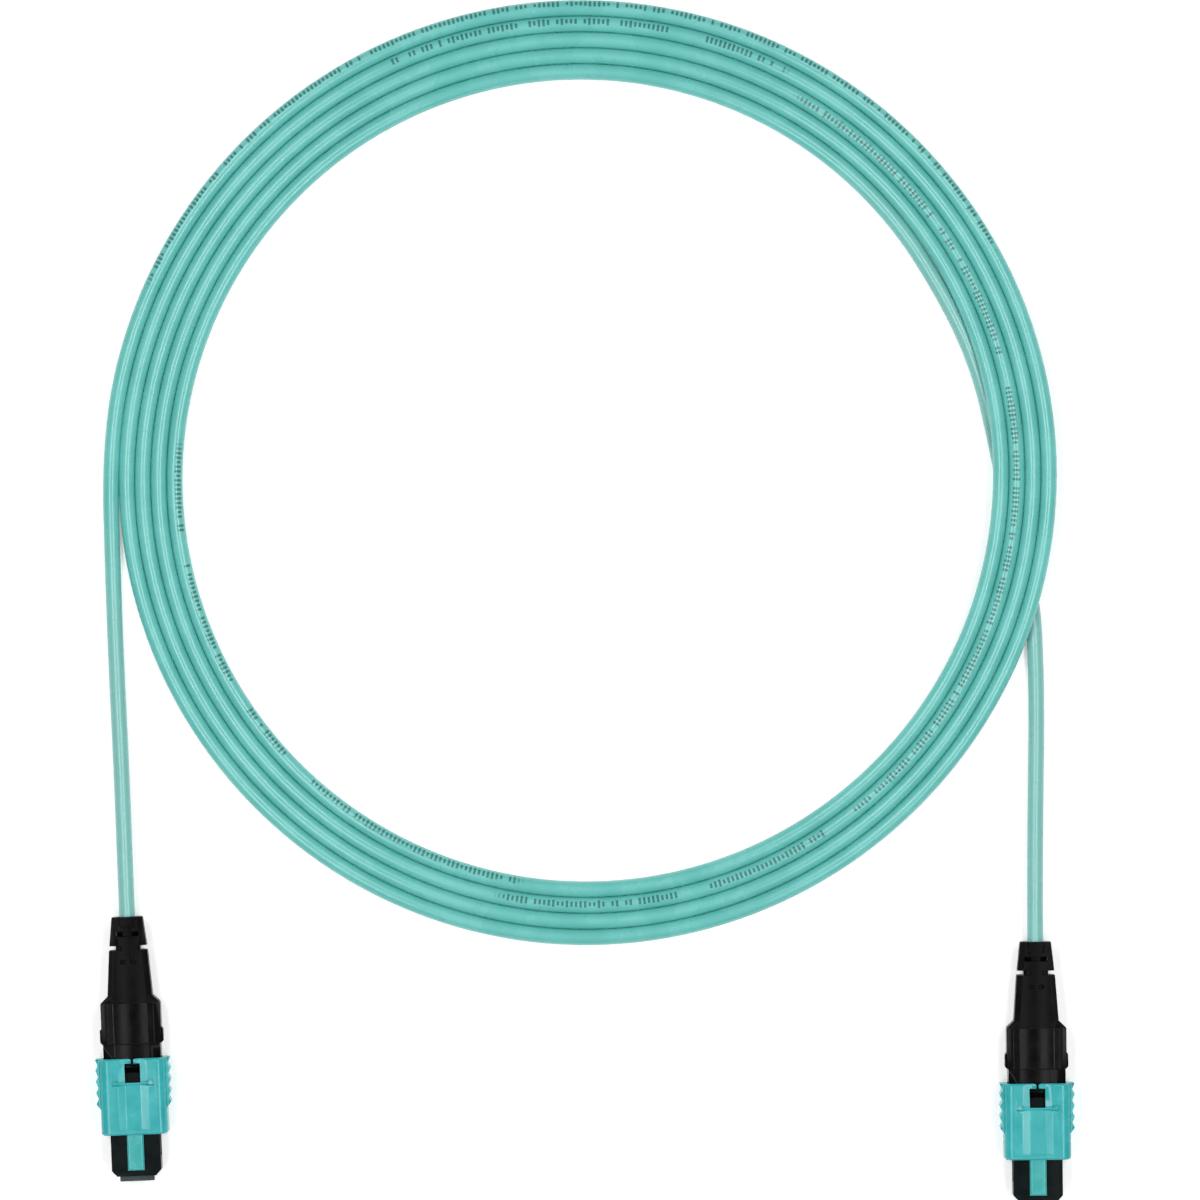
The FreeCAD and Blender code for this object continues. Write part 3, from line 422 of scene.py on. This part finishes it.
def unroll(bm, line):
    """Give a swept tube its u and v, and mark the rings that are printed or on the free tails."""
    ring_layer = bm.verts.layers.int["ring"]
    spoke_layer = bm.verts.layers.int["spoke"]
    legend_layer = bm.verts.layers.float.new("legend")
    tail_layer = bm.verts.layers.float.new("tail")
    turns = turns_along(line)
    run = [0.0]
    for before, after in zip(line, line[1:]):
        run.append(run[-1] + (after - before).length)
    for vertex in bm.verts:
        turn = turns[vertex[ring_layer]]
        printed = any(first < turn < last for first, last in LEGEND_RUNS)
        vertex[legend_layer] = 1.0 if printed else 0.0
        # How far a ring lies out on a free tail, from 0 in the coil to 1.
        toward_tail = max(-turn / FADE_A, (turn - COIL_TURNS) / FADE_B, 0.0)
        vertex[tail_layer] = min(toward_tail, 1.0)
    uv_layer = bm.loops.layers.uv.new("unrolled")
    for face in bm.faces:
        if len(face.verts) > 4:
            continue
        spokes = [vertex[spoke_layer] for vertex in face.verts]
        for loop in face.loops:
            spoke = loop.vert[spoke_layer]
            if max(spokes) - min(spokes) > 1 and spoke == 0:
                spoke = SIDES
            ring = loop.vert[ring_layer]
            legend_at = LEGEND_ANGLE - LEGEND_CREEP * turns[ring]
            loop[uv_layer].uv = (run[ring], spoke / SIDES - legend_at / 360)
    return bm


def piece_from(bm, name):
    """Turn a bmesh into a named object at the origin, smooth but for its hard edges."""
    mesh = bpy.data.meshes.new(name)
    for face in bm.faces:
        face.smooth = True
    bm.to_mesh(mesh)
    bm.free()
    piece = bpy.data.objects.new(name, mesh)
    bpy.context.scene.collection.objects.link(piece)
    return piece


cable = piece_from(unroll(tube_along(cable_line, CABLE_RADIUS, SIDES), cable_line), "jacket")
print("jacket:", len(cable.data.polygons), "faces,", round(turns_along(cable_line)[-1], 2), "turns")

# %% [markdown]
# ## Effects that several finishes share
# Moulded plastics, rubbed and painted-highlit edges and drawn metal turn up on many pieces,
# so each is one node group with named inputs. A group only works out colours, roughness and
# height. The Principled shader stays in each material, where an exporter can read it.

# %% Make a group with named sockets


def new_group(name, inputs, outputs):
    """A node group with named sockets, given as name and kind."""
    group = bpy.data.node_groups.new(name, "ShaderNodeTree")
    for direction, sockets in (("INPUT", inputs), ("OUTPUT", outputs)):
        for label, kind in sockets.items():
            group.interface.new_socket(name=label, in_out=direction, socket_type="NodeSocket" + kind)
    entry = group.nodes.new("NodeGroupInput")
    exit_node = group.nodes.new("NodeGroupOutput")
    return group, entry.outputs, exit_node.inputs


# %% Moulded skin: cloudy colour, and the fine grain that a sparked mould leaves
skin, given, result = new_group(
    "moulded_skin",
    {"Position": "Vector", "Dark": "Color", "Light": "Color", "Cloud": "Float", "Grain": "Float",
     "Smooth": "Float", "Rough": "Float"},
    {"Colour": "Color", "Roughness": "Float", "Height": "Float"})
cloud = put(skin, "TexNoise", {"Vector": given["Position"], "Scale": given["Cloud"], "Detail": 3.0})
grain = put(skin, "TexNoise", {"Vector": given["Position"], "Scale": given["Grain"], "Detail": 2.0})
cloudy = stretched(skin, cloud.outputs[0], 0.35, 0.65)
skin.links.new(mixed(skin, cloudy, given["Dark"], given["Light"]), result["Colour"])
speckled = calculate(skin, "ADD", calculate(skin, "MULTIPLY", cloudy, 0.6),
                     calculate(skin, "MULTIPLY", grain.outputs[0], 0.4))
skin.links.new(stretched(skin, speckled, 0.1, 0.9, given["Smooth"], given["Rough"]),
               result["Roughness"])
skin.links.new(grain.outputs[0], result["Height"])
print("group", skin.name)

# %% Rubbed edges with a painted highlight: corners paler in patches, where fingers polish them and where they catch the light
rubbed_and_highlit, given, result = new_group(
    "rubbed_and_highlit_edges",
    {"Position": "Vector", "Edge": "Float", "Patch": "Float", "Amount": "Float"},
    {"Mask": "Float"})
patches = put(rubbed_and_highlit, "TexNoise", {"Vector": given["Position"], "Scale": given["Patch"], "Detail": 2.0})
# The mask pales the rounded edges: partly rubbed wear, partly a painted highlight.
wear_and_highlight = calculate(rubbed_and_highlit, "MULTIPLY", given["Edge"],
                 stretched(rubbed_and_highlit, patches.outputs[0], 0.3, 0.6, 0.35, 1.0))
rubbed_and_highlit.links.new(calculate(rubbed_and_highlit, "MULTIPLY", wear_and_highlight, given["Amount"]), result["Mask"])
print("group", rubbed_and_highlit.name)

# %% Drawn metal: fine lines along one direction, with duller patches
drawn, given, result = new_group(
    "drawn_metal",
    {"Position": "Vector", "Bright": "Color", "Dull": "Color", "Smooth": "Float", "Rough": "Float"},
    {"Colour": "Color", "Roughness": "Float", "Height": "Float"})
lines = put(drawn, "TexNoise", {"Vector": given["Position"], "Scale": 1.0, "Detail": 4.0})
film = put(drawn, "TexNoise", {"Vector": given["Position"], "Scale": 0.08, "Detail": 2.0})
dulled = stretched(drawn, film.outputs[0], 0.35, 0.7)
drawn.links.new(mixed(drawn, dulled, given["Bright"], given["Dull"]), result["Colour"])
streak = calculate(drawn, "ADD", calculate(drawn, "MULTIPLY", lines.outputs[0], 0.5),
                   calculate(drawn, "MULTIPLY", dulled, 0.5))
drawn.links.new(stretched(drawn, streak, 0.1, 0.9, given["Smooth"], given["Rough"]),
                result["Roughness"])
drawn.links.new(lines.outputs[0], result["Height"])
print("group", drawn.name)

# %% [markdown]
# ## Moulded finishes
# The housing, rear body, boot, sleeve and ferrule are all moulded, each in its own resin.
# One function writes such a material from two near colours, a range of roughness and the
# sizes of its clouds and its grain, and the edge attribute makes corners paler, partly as
# rubbed wear and partly as a painted highlight.

# %% Write the moulded materials
WEAR_AND_HIGHLIGHT_PATCH = 900.0
POLISHED_BY = 0.08


def placed_group(tree, group, sockets):
    """Use a node group in a tree, and give back its outputs."""
    node = tree.nodes.new("ShaderNodeGroup")
    node.node_tree = group
    for name, value in sockets.items():
        wire_up(tree, node.inputs[name], value)
    return node.outputs


def bumped(tree, height, distance):
    """A bumped normal, from a height that runs from 0 to 1 over a distance in metres."""
    return put(tree, "Bump", {"Height": height, "Strength": 1.0, "Distance": distance}).outputs[0]


def moulded(name, dark, light, wear_and_highlight, smooth, rough, cloud=420.0, grain=9000.0, relief=0.004,
            specular=0.5, wear_and_highlight_amount=0.8):
    """A moulded plastic whose rounded edges are paler: partly rubbed, partly a painted highlight."""
    material, nodes, links = new_material(name)
    tree = material.node_tree
    shader = nodes["Principled BSDF"]
    place = put(tree, "TexCoord").outputs["Object"]
    edge = put(tree, "Attribute", attribute_name="edge").outputs["Fac"]
    surface = placed_group(tree, skin, {
        "Position": place, "Dark": (*dark, 1), "Light": (*light, 1), "Cloud": cloud,
        "Grain": grain, "Smooth": smooth, "Rough": rough})
    wear_and_highlight_mask = placed_group(tree, rubbed_and_highlit, {
        "Position": place, "Edge": edge, "Patch": WEAR_AND_HIGHLIGHT_PATCH, "Amount": wear_and_highlight_amount})["Mask"]
    # Rounded edges mix toward a paler colour: rubbed wear, and a painted highlight.
    links.new(mixed(tree, wear_and_highlight_mask, surface["Colour"], (*wear_and_highlight, 1)), shader.inputs["Base Color"])
    polished = calculate(tree, "SUBTRACT", surface["Roughness"],
                         calculate(tree, "MULTIPLY", wear_and_highlight_mask, POLISHED_BY))
    links.new(polished, shader.inputs["Roughness"])
    links.new(bumped(tree, surface["Height"], relief * MM), shader.inputs["Normal"])
    shader.inputs["Specular IOR Level"].default_value = specular
    return material


# The third colour of each is its paler edge colour: rubbed wear and a painted highlight.
black_housing = moulded("black_housing", (0.0022, 0.0050, 0.0058), (0.0038, 0.0070, 0.0078),
                        (0.022, 0.026, 0.027), 0.24, 0.33, specular=0.055)
black_body = moulded("black_body", (0.0022, 0.0023, 0.0024), (0.0040, 0.0041, 0.0040),
                     (0.028, 0.027, 0.026), 0.20, 0.29, specular=0.07)
black_boot = moulded("black_boot", (0.0022, 0.0023, 0.0023), (0.0042, 0.0042, 0.0041),
                     (0.024, 0.023, 0.022), 0.30, 0.42, cloud=300.0, grain=6000.0, relief=0.008,
                     specular=0.05)
aqua_sleeve = moulded("aqua_sleeve", (0.016, 0.360, 0.376), (0.026, 0.408, 0.422),
                      (0.16, 0.62, 0.63), 0.20, 0.29, cloud=260.0)
aqua_key = moulded("aqua_key", (0.024, 0.362, 0.354), (0.034, 0.394, 0.384),
                   (0.17, 0.62, 0.61), 0.22, 0.31, cloud=350.0)
soft_sleeve = moulded("soft_sleeve", (0.10, 0.10, 0.095), (0.16, 0.16, 0.15),
                      (0.2, 0.2, 0.19), 0.55, 0.75, cloud=600.0, grain=5000.0, wear_and_highlight_amount=0.0)
print("moulded finishes:", [m.name for m in bpy.data.materials])

# %% [markdown]
# ## The ferrule's resin
# The ferrule is moulded from a dark resin so full of fine glass that it shows as pale specks,
# and its face is polished flat with the fibres. The specks come from a cell pattern, of
# which only the middles of a few cells are kept.

# %% Write the ferrule's material
FLECK = (0.20, 0.21, 0.20, 1)
FLECK_COVER = 0.5
FLECK_CELLS = 9000.0
FLECK_EDGE = (0.30, 0.12)
KEPT_CELLS = (0.6, 0.75)

glassy_resin = moulded("glassy_resin", (0.011, 0.032, 0.034), (0.018, 0.045, 0.047),
                       (0.07, 0.11, 0.11), 0.26, 0.40, cloud=900.0, specular=0.32)
tree = glassy_resin.node_tree
shader = tree.nodes["Principled BSDF"]
plain_colour = shader.inputs["Base Color"].links[0].from_socket
place = put(tree, "TexCoord").outputs["Object"]
cells = put(tree, "TexVoronoi", {"Vector": place, "Scale": FLECK_CELLS}).outputs
chance = put(tree, "SeparateColor", {"Color": cells["Color"]}).outputs[0]
fleck = calculate(tree, "MULTIPLY", stretched(tree, cells["Distance"], *FLECK_EDGE),
                  stretched(tree, chance, *KEPT_CELLS))
tree.links.new(mixed(tree, calculate(tree, "MULTIPLY", fleck, FLECK_COVER), plain_colour, FLECK),
               shader.inputs["Base Color"])
print("flecked:", glassy_resin.name)

# %% [markdown]
# ## The jacket's finish
# The jacket is a soft low-smoke compound drawn hot over the fibres, so it has faint lines
# along its length, a slightly cloudy colour and a soft shine. Towards the free tails it turns
# a shade greyer. The legend is a row of upright ticks, in words of uneven
# length: a random number for each cell says whether a tick stands there and how tall it is.

# %% Write the jacket's material
# A tick's edges are shares of its cell, and its reach up or down is a share of the way round.
TICK_PITCH = 0.86 * MM
TICK_EDGE = (0.30, 0.24)
TALLEST_TICK = 0.079
SHORTEST_TICK = 0.034
SOFT_TICK_END = 0.004
WORD_TICKS = 7.0
MISSING_TICKS = 0.14
MISSING_WORDS = 0.10
INK = (0.028, 0.165, 0.150, 1)
INK_COVER = 0.92
TAIL_GREY = (0.215, 0.500, 0.462, 1)
TAIL_GREY_SHARE = 0.8
GRAIN_SHARE = 0.4
RELIEF = 0.012 * MM

jacket, nodes, links = new_material("aqua_jacket")
tree = jacket.node_tree
shader = nodes["Principled BSDF"]
unrolled = put(tree, "UVMap", uv_map="unrolled").outputs["UV"]
place = put(tree, "TexCoord").outputs["Object"]
skin_colour = placed_group(tree, skin, {
    "Position": place, "Dark": (0.118, 0.495, 0.452, 1), "Light": (0.142, 0.540, 0.495, 1),
    "Cloud": 140.0, "Grain": 5000.0, "Smooth": 0.22, "Rough": 0.31})
# Towards the free tails the colour turns a shade greyer.
toward_tail = put(tree, "Attribute", attribute_name="tail").outputs["Fac"]
body_colour = mixed(tree, calculate(tree, "MULTIPLY", toward_tail, TAIL_GREY_SHARE),
                    skin_colour["Colour"], TAIL_GREY)
drawn_lines = put(tree, "Mapping", {"Vector": unrolled, "Scale": (120.0, 60.0, 1.0)}).outputs[0]
lines = put(tree, "TexNoise", {"Vector": drawn_lines, "Scale": 1.0, "Detail": 2.0}).outputs[0]
split = put(tree, "SeparateXYZ", {"Vector": unrolled})
cell = calculate(tree, "DIVIDE", split.outputs["X"], TICK_PITCH)
number = calculate(tree, "FLOOR", cell)
word = calculate(tree, "FLOOR", calculate(tree, "DIVIDE", cell, WORD_TICKS))
chance = put(tree, "TexWhiteNoise", {"W": number}, noise_dimensions="1D").outputs["Value"]
word_chance = put(tree, "TexWhiteNoise", {"W": word}, noise_dimensions="1D").outputs["Value"]
present = calculate(tree, "MULTIPLY", calculate(tree, "GREATER_THAN", chance, MISSING_TICKS),
                    calculate(tree, "GREATER_THAN", word_chance, MISSING_WORDS))
across = calculate(tree, "ABSOLUTE",
                   calculate(tree, "SUBTRACT", calculate(tree, "FRACT", cell), 0.5))
upright = stretched(tree, across, *TICK_EDGE)
off_line = calculate(tree, "SUBTRACT", split.outputs["Y"],
                     calculate(tree, "ROUND", split.outputs["Y"]))
reach = calculate(tree, "MULTIPLY_ADD", chance, TALLEST_TICK - SHORTEST_TICK, SHORTEST_TICK)
past_end = calculate(tree, "SUBTRACT", calculate(tree, "ABSOLUTE", off_line), reach)
inside = stretched(tree, past_end, SOFT_TICK_END, -SOFT_TICK_END)
printed = put(tree, "Attribute", attribute_name="legend").outputs["Fac"]
ink = calculate(tree, "MULTIPLY", calculate(tree, "MULTIPLY", upright, inside),
                calculate(tree, "MULTIPLY", present, printed))
links.new(mixed(tree, calculate(tree, "MULTIPLY", ink, INK_COVER), body_colour, INK),
          shader.inputs["Base Color"])
links.new(skin_colour["Roughness"], shader.inputs["Roughness"])
shader.inputs["Specular IOR Level"].default_value = 0.7
grain = calculate(tree, "MULTIPLY", skin_colour["Height"], GRAIN_SHARE)
links.new(bumped(tree, calculate(tree, "ADD", grain, lines), RELIEF), shader.inputs["Normal"])
cable.data.materials.append(jacket)
print("jacket written, legend on", LEGEND_RUNS)

# %% [markdown]
# ## Metals, yarn and glass
# Springs are drawn steel wire, the keeper is stamped stainless and the crimp ring is plated
# brass, so they share the drawn metal group with their own colours and line directions.
# A Mapping node stretches the pattern: small numbers along a direction make long lines.

# %% Write the metals


def metal(name, bright, dull, smooth, rough, stretch, relief=0.003):
    """A metal with fine lines, in a direction given by how its pattern is stretched."""
    material, nodes, links = new_material(name)
    tree = material.node_tree
    shader = nodes["Principled BSDF"]
    place = put(tree, "TexCoord").outputs["Object"]
    along = put(tree, "Mapping", {"Vector": place, "Scale": stretch}).outputs[0]
    surface = placed_group(tree, drawn, {
        "Position": along, "Bright": (*bright, 1), "Dull": (*dull, 1),
        "Smooth": smooth, "Rough": rough})
    links.new(surface["Colour"], shader.inputs["Base Color"])
    links.new(surface["Roughness"], shader.inputs["Roughness"])
    links.new(bumped(tree, surface["Height"], relief * MM), shader.inputs["Normal"])
    shader.inputs["Metallic"].default_value = 1.0
    return material


spring_wire = metal("spring_wire", (0.58, 0.57, 0.55), (0.40, 0.39, 0.37), 0.20, 0.36,
                    (9000.0, 1200.0, 9000.0))
stamped_steel = metal("stamped_steel", (0.62, 0.61, 0.59), (0.45, 0.44, 0.42), 0.24, 0.42,
                      (1500.0, 12000.0, 12000.0))
plated_brass = metal("plated_brass", (0.66, 0.63, 0.56), (0.48, 0.45, 0.40), 0.22, 0.40,
                     (12000.0, 1500.0, 12000.0))
print("metals:", spring_wire.name, stamped_steel.name, plated_brass.name)

# %% Write the yarn, a bundle of fine straight strands, and the fibres' glass
yarn, nodes, links = new_material("yarn_strands")
tree = yarn.node_tree
shader = nodes["Principled BSDF"]
place = put(tree, "TexCoord").outputs["Object"]
along = put(tree, "Mapping", {"Vector": place, "Scale": (7000.0, 350.0, 7000.0)}).outputs[0]
strands = put(tree, "TexNoise", {"Vector": along, "Scale": 1.0, "Detail": 3.0}).outputs[0]
links.new(mixed(tree, stretched(tree, strands, 0.3, 0.7), (0.42, 0.28, 0.05, 1),
                (0.80, 0.62, 0.20, 1)), shader.inputs["Base Color"])
links.new(stretched(tree, strands, 0.2, 0.8, 0.45, 0.7), shader.inputs["Roughness"])
links.new(bumped(tree, strands, 0.03 * MM), shader.inputs["Normal"])

glass, nodes, links = new_material("fibre_ends")
tree = glass.node_tree
shader = nodes["Principled BSDF"]
place = put(tree, "TexCoord").outputs["Object"]
surface = placed_group(tree, skin, {
    "Position": place, "Dark": (0.50, 0.52, 0.50, 1), "Light": (0.66, 0.67, 0.64, 1),
    "Cloud": 3000.0, "Grain": 12000.0, "Smooth": 0.10, "Rough": 0.22})
links.new(surface["Colour"], shader.inputs["Base Color"])
links.new(surface["Roughness"], shader.inputs["Roughness"])
links.new(bumped(tree, surface["Height"], 0.001 * MM), shader.inputs["Normal"])
print("yarn and glass written")

# %% [markdown]
# ## Soft edges on the moulded pieces
# A moulded part never has a knife edge: the tool leaves a radius of a tenth of a millimetre,
# and that radius is what catches the light. The CAD solids have sharp edges, so each
# visible one is copied, its loose triangles are welded and joined back into whole faces,
# and every edge that has room for it gets a two-step bevel. A narrow ledge has no room, as
# its two bevels would cross. The middle row of each bevel is the only one that leaves the
# old surface, so the edge attribute that the finishes read is found by that. A corner that
# a crowded bevel throws too far is put back on the surface.

# %% Find the edges that can be rounded
WELD = 0.001 * MM
FLAT = math.radians(1.5)
SHARP = math.radians(9)
CURVED = math.radians(12)
STRAIGHT_ON = math.cos(math.radians(30))
# These three count in widths of the bevel: the room it needs beside it, and how far off the
# old surface a vertex is in a bevel's middle row, or when it has strayed.
ROOM = 2.4
LEFT_THE_SURFACE = 0.04
STRAYED = 0.5


def is_sharp(edge):
    """Whether two faces meet here at an angle that a mould would round."""
    return len(edge.link_faces) == 2 and edge.calc_face_angle() > SHARP


def carries_on(edge, corner, other):
    """Whether the other edge goes on through this corner in nearly the same direction."""
    first = (edge.other_vert(corner).co - corner.co).normalized()
    second = (other.other_vert(corner).co - corner.co).normalized()
    return first.dot(second) < -STRAIGHT_ON


def distance_to(point, edge):
    """How far a point is from the nearest point of an edge."""
    start, end = (vertex.co for vertex in edge.verts)
    share = intersect_point_line(point, start, end)[1]
    return (point - start.lerp(end, min(max(share, 0.0), 1.0))).length


def ledge_is_wide(edge, width):
    """Whether the faces beside an edge are wide enough to take a bevel of this width."""
    for face in edge.link_faces:
        for other in face.edges:
            if set(other.verts) & set(edge.verts):
                continue
            gaps = [distance_to(vertex.co, other) for vertex in edge.verts]
            gaps += [distance_to(vertex.co, edge) for vertex in other.verts]
            if min(gaps) < ROOM * width:
                return False
    return True


def has_room(edge, width):
    """Whether a bevel of this width fits beside an edge and at both of its ends."""
    if not ledge_is_wide(edge, width):
        return False
    for corner in edge.verts:
        others = [other for other in corner.link_edges if other != edge]
        ahead = [other for other in others if carries_on(edge, corner, other)]
        if any(other.calc_length() < ROOM * width for other in others if other not in ahead):
            return False
        if edge.calc_length() < ROOM * width and not any(is_sharp(other) for other in ahead):
            return False
    return True


# %% Crown a flat top
CROWN_STEP = 0.8 * MM
CROWN_COLUMNS = 4
CUT_TOLERANCE = 0.0001 * MM


def crowned(bm, plug, share):
    """Cut a piece lengthwise and thin it towards its sides, as a shrinking moulding does."""
    bmesh.ops.transform(bm, verts=bm.verts, matrix=plug.inverted())
    for column in range(-CROWN_COLUMNS, CROWN_COLUMNS + 1):
        bmesh.ops.bisect_plane(bm, geom=bm.verts[:] + bm.edges[:] + bm.faces[:],
                               dist=CUT_TOLERANCE, plane_co=(column * CROWN_STEP, 0, 0),
                               plane_no=(1, 0, 0))
    for vertex in bm.verts:
        columns = min(abs(vertex.co.x) / CROWN_STEP, CROWN_COLUMNS)
        inner = math.floor(columns)
        sunk = inner**2 + (columns - inner) * (2 * inner + 1)
        vertex.co.z *= 1 - share * sunk / CROWN_COLUMNS**2
    bmesh.ops.transform(bm, verts=bm.verts, matrix=plug)


# %% Copy a piece and round its edges
def softened(node, width, material, crown=0.0):
    """A copy of a CAD node with rounded edges, which rides on the same body in its place."""
    source = frame["nodes"][node]
    bm = bmesh.new()
    bm.from_mesh(source.data)
    bmesh.ops.remove_doubles(bm, verts=bm.verts, dist=WELD)
    bmesh.ops.dissolve_limit(bm, angle_limit=FLAT, verts=bm.verts, edges=bm.edges)
    if crown:
        crowned(bm, PLUG[node[-1]], crown)
    chosen = [edge for edge in bm.edges if is_sharp(edge) and has_room(edge, width)]
    sharp_shape = BVHTree.FromBMesh(bm)
    bmesh.ops.bevel(bm, geom=chosen, offset=width, offset_type="OFFSET", segments=2,
                    profile=0.5, affect="EDGES", clamp_overlap=False, material=-1)
    edge_layer = bm.verts.layers.float.new("edge")
    for vertex in bm.verts:
        on_surface, _, _, gap = sharp_shape.find_nearest(vertex.co)
        if gap > width * STRAYED:
            vertex.co = on_surface
        vertex[edge_layer] = float(LEFT_THE_SURFACE < gap / width < STRAYED)
    for edge in bm.edges:
        beside_bevel = any(sum(vertex[edge_layer] for vertex in face.verts) >= len(face.verts) / 2
                           for face in edge.link_faces)
        edge.smooth = beside_bevel or edge.calc_face_angle(0) < CURVED
    piece = piece_from(bm, node + "_moulded")
    weighting = piece.modifiers.new("flat_faces_stay_flat", "WEIGHTED_NORMAL")
    weighting.keep_sharp = True
    piece.data.materials.append(material)
    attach(piece, source["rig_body"])
    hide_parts(node)
    print(piece.name, len(chosen), "edges rounded,", len(piece.data.polygons), "faces")
    return piece


# For each piece: the width of its rounded edges in millimetres, its finish, its material
# slot and how much its sides are crowned.
MOULDED = {
    "plug_housing": (0.12, black_housing, "housing_black", 0.0),
    "polarity_key": (0.12, aqua_key, "sleeve_aqua", 0.0),
    "coupling_sleeve": (0.12, aqua_sleeve, "sleeve_aqua", 0.0),
    "rear_body": (0.15, black_body, "housing_black", 0.13),
    "strain_relief": (0.15, black_boot, "boot_black", 0.15),
    "mt_ferrule": (0.05, glassy_resin, "ferrule_dark", 0.0)}
moulded_pieces = {}
for end in "ab":
    for node, (width, material, slot, crown) in MOULDED.items():
        name = node + "_" + end
        moulded_pieces[name] = softened(name, width * MM, material, crown)

# %% [markdown]
# ## Springs of round wire
# Each plug has one oval spring round its ribbon, which pushes the ferrule out, and two small
# ones at the sides that return the sleeve. A spring is a disc of wire spun round its axis
# with a small step along it each time. The first and last turns are wound close, as on
# real springs, so that they stand flat. The oval is the round spring pulled apart.

# %% Wind a spring
WIRE_SIDES = 10
STEPS_A_TURN = 20


def wound(mean_radius, wire, length, open_turns, half_run):
    """A helix along +z from z = 0, with one close turn at each end, pulled apart sideways."""
    bm = bmesh.new()
    bmesh.ops.create_circle(bm, segments=WIRE_SIDES, radius=wire / 2, cap_ends=True)
    bmesh.ops.rotate(bm, verts=bm.verts, matrix=Matrix.Rotation(math.pi / 2, 3, "X"))
    bmesh.ops.translate(bm, verts=bm.verts, vec=(mean_radius, 0, wire / 2))
    bmesh.ops.rotate(bm, verts=bm.verts, matrix=Matrix.Rotation(math.pi / STEPS_A_TURN, 3, "Z"))
    climb = (length - 3 * wire) / open_turns
    tip = bm.verts[:] + bm.edges[:] + bm.faces[:]
    for turns, pitch in ((1, wire), (open_turns, climb), (1, wire)):
        steps = turns * STEPS_A_TURN
        tip = bmesh.ops.spin(bm, geom=tip, cent=(0, 0, 0), axis=(0, 0, 1), angle=math.tau * turns,
                             dvec=(0, 0, pitch / STEPS_A_TURN), steps=steps)["geom_last"]
    for vertex in bm.verts:
        vertex.co.x += math.copysign(half_run, vertex.co.x)
    bmesh.ops.remove_doubles(bm, verts=bm.verts, dist=WELD)
    bmesh.ops.recalc_face_normals(bm, faces=bm.faces)
    return bm


def seat(bm, end, across, station):
    """Turn a shape's z axis to the plug's own y, and put it at a station of the plug."""
    place = Matrix.Translation(Vector((across, station, 0)) * MM)
    bmesh.ops.transform(bm, verts=bm.verts,
                        matrix=PLUG[end] @ place @ Matrix.Rotation(-math.pi / 2, 4, "X"))


def sprung(node, end, size, across):
    """Wind a spring into its place between its front and rear stations, on the plug's body."""
    length = size["rear"] - size["front"]
    bm = wound(size["radius"] * MM, size["wire"] * MM, length * MM, size["turns"],
               size["half_run"] * MM)
    seat(bm, end, across, size["front"])
    piece = piece_from(bm, f"{node}_{end}_wire")
    piece.data.materials.append(spring_wire)
    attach(piece, "plug")
    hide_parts(f"{node}_{end}")
    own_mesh(piece)
    print(piece.name, len(piece.data.polygons), "faces")
    return piece


# Stations and sizes in millimetres, and the number of open turns.
SLEEVE_SPRING = {"front": 13.0, "rear": 20.2, "radius": 0.56, "wire": 0.22, "turns": 7,
                 "half_run": 0.0}
FERRULE_SPRING = {"front": 10.4, "rear": 19.0, "radius": 1.28, "wire": 0.34, "turns": 5,
                  "half_run": 1.6}
SLEEVE_SPRING_ACROSS = 4.83

springs = {}
for end in "ab":
    for side, sign in (("left", -1), ("right", 1)):
        springs[f"sleeve_spring_{side}_{end}"] = sprung(
            "sleeve_spring_" + side, end, SLEEVE_SPRING, sign * SLEEVE_SPRING_ACROSS)
    springs[f"ferrule_spring_{end}"] = sprung(
        "ferrule_spring", end, FERRULE_SPRING, 0)

# %% [markdown]
# ## Inside pieces
# The keeper, the ferrule's soft boot, the crimp ring, the yarn and the fibres sit inside
# the plug. Their CAD shapes are right as they are, so they only get their finishes.

# %% Finish the inside pieces
INSIDE = {"pin_keeper": stamped_steel, "ferrule_boot": soft_sleeve, "crimp_ring": plated_brass,
          "aramid_yarn": yarn, "fibre_bundle": glass}
for end in "ab":
    for node, material in INSIDE.items():
        frame["nodes"][f"{node}_{end}"].material_slots[0].material = material
print("finished:", ", ".join(INSIDE))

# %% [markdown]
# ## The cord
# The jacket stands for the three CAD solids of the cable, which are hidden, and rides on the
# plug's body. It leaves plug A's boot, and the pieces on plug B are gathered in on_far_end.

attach(cable, "plug")
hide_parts("cable_tail_a", "cable_coil", "cable_tail_b")
on_far_end = [piece for name, piece in {**moulded_pieces, **springs}.items() if name.endswith("_b")]
on_far_end += [frame["nodes"][node + "_b"] for node in INSIDE]
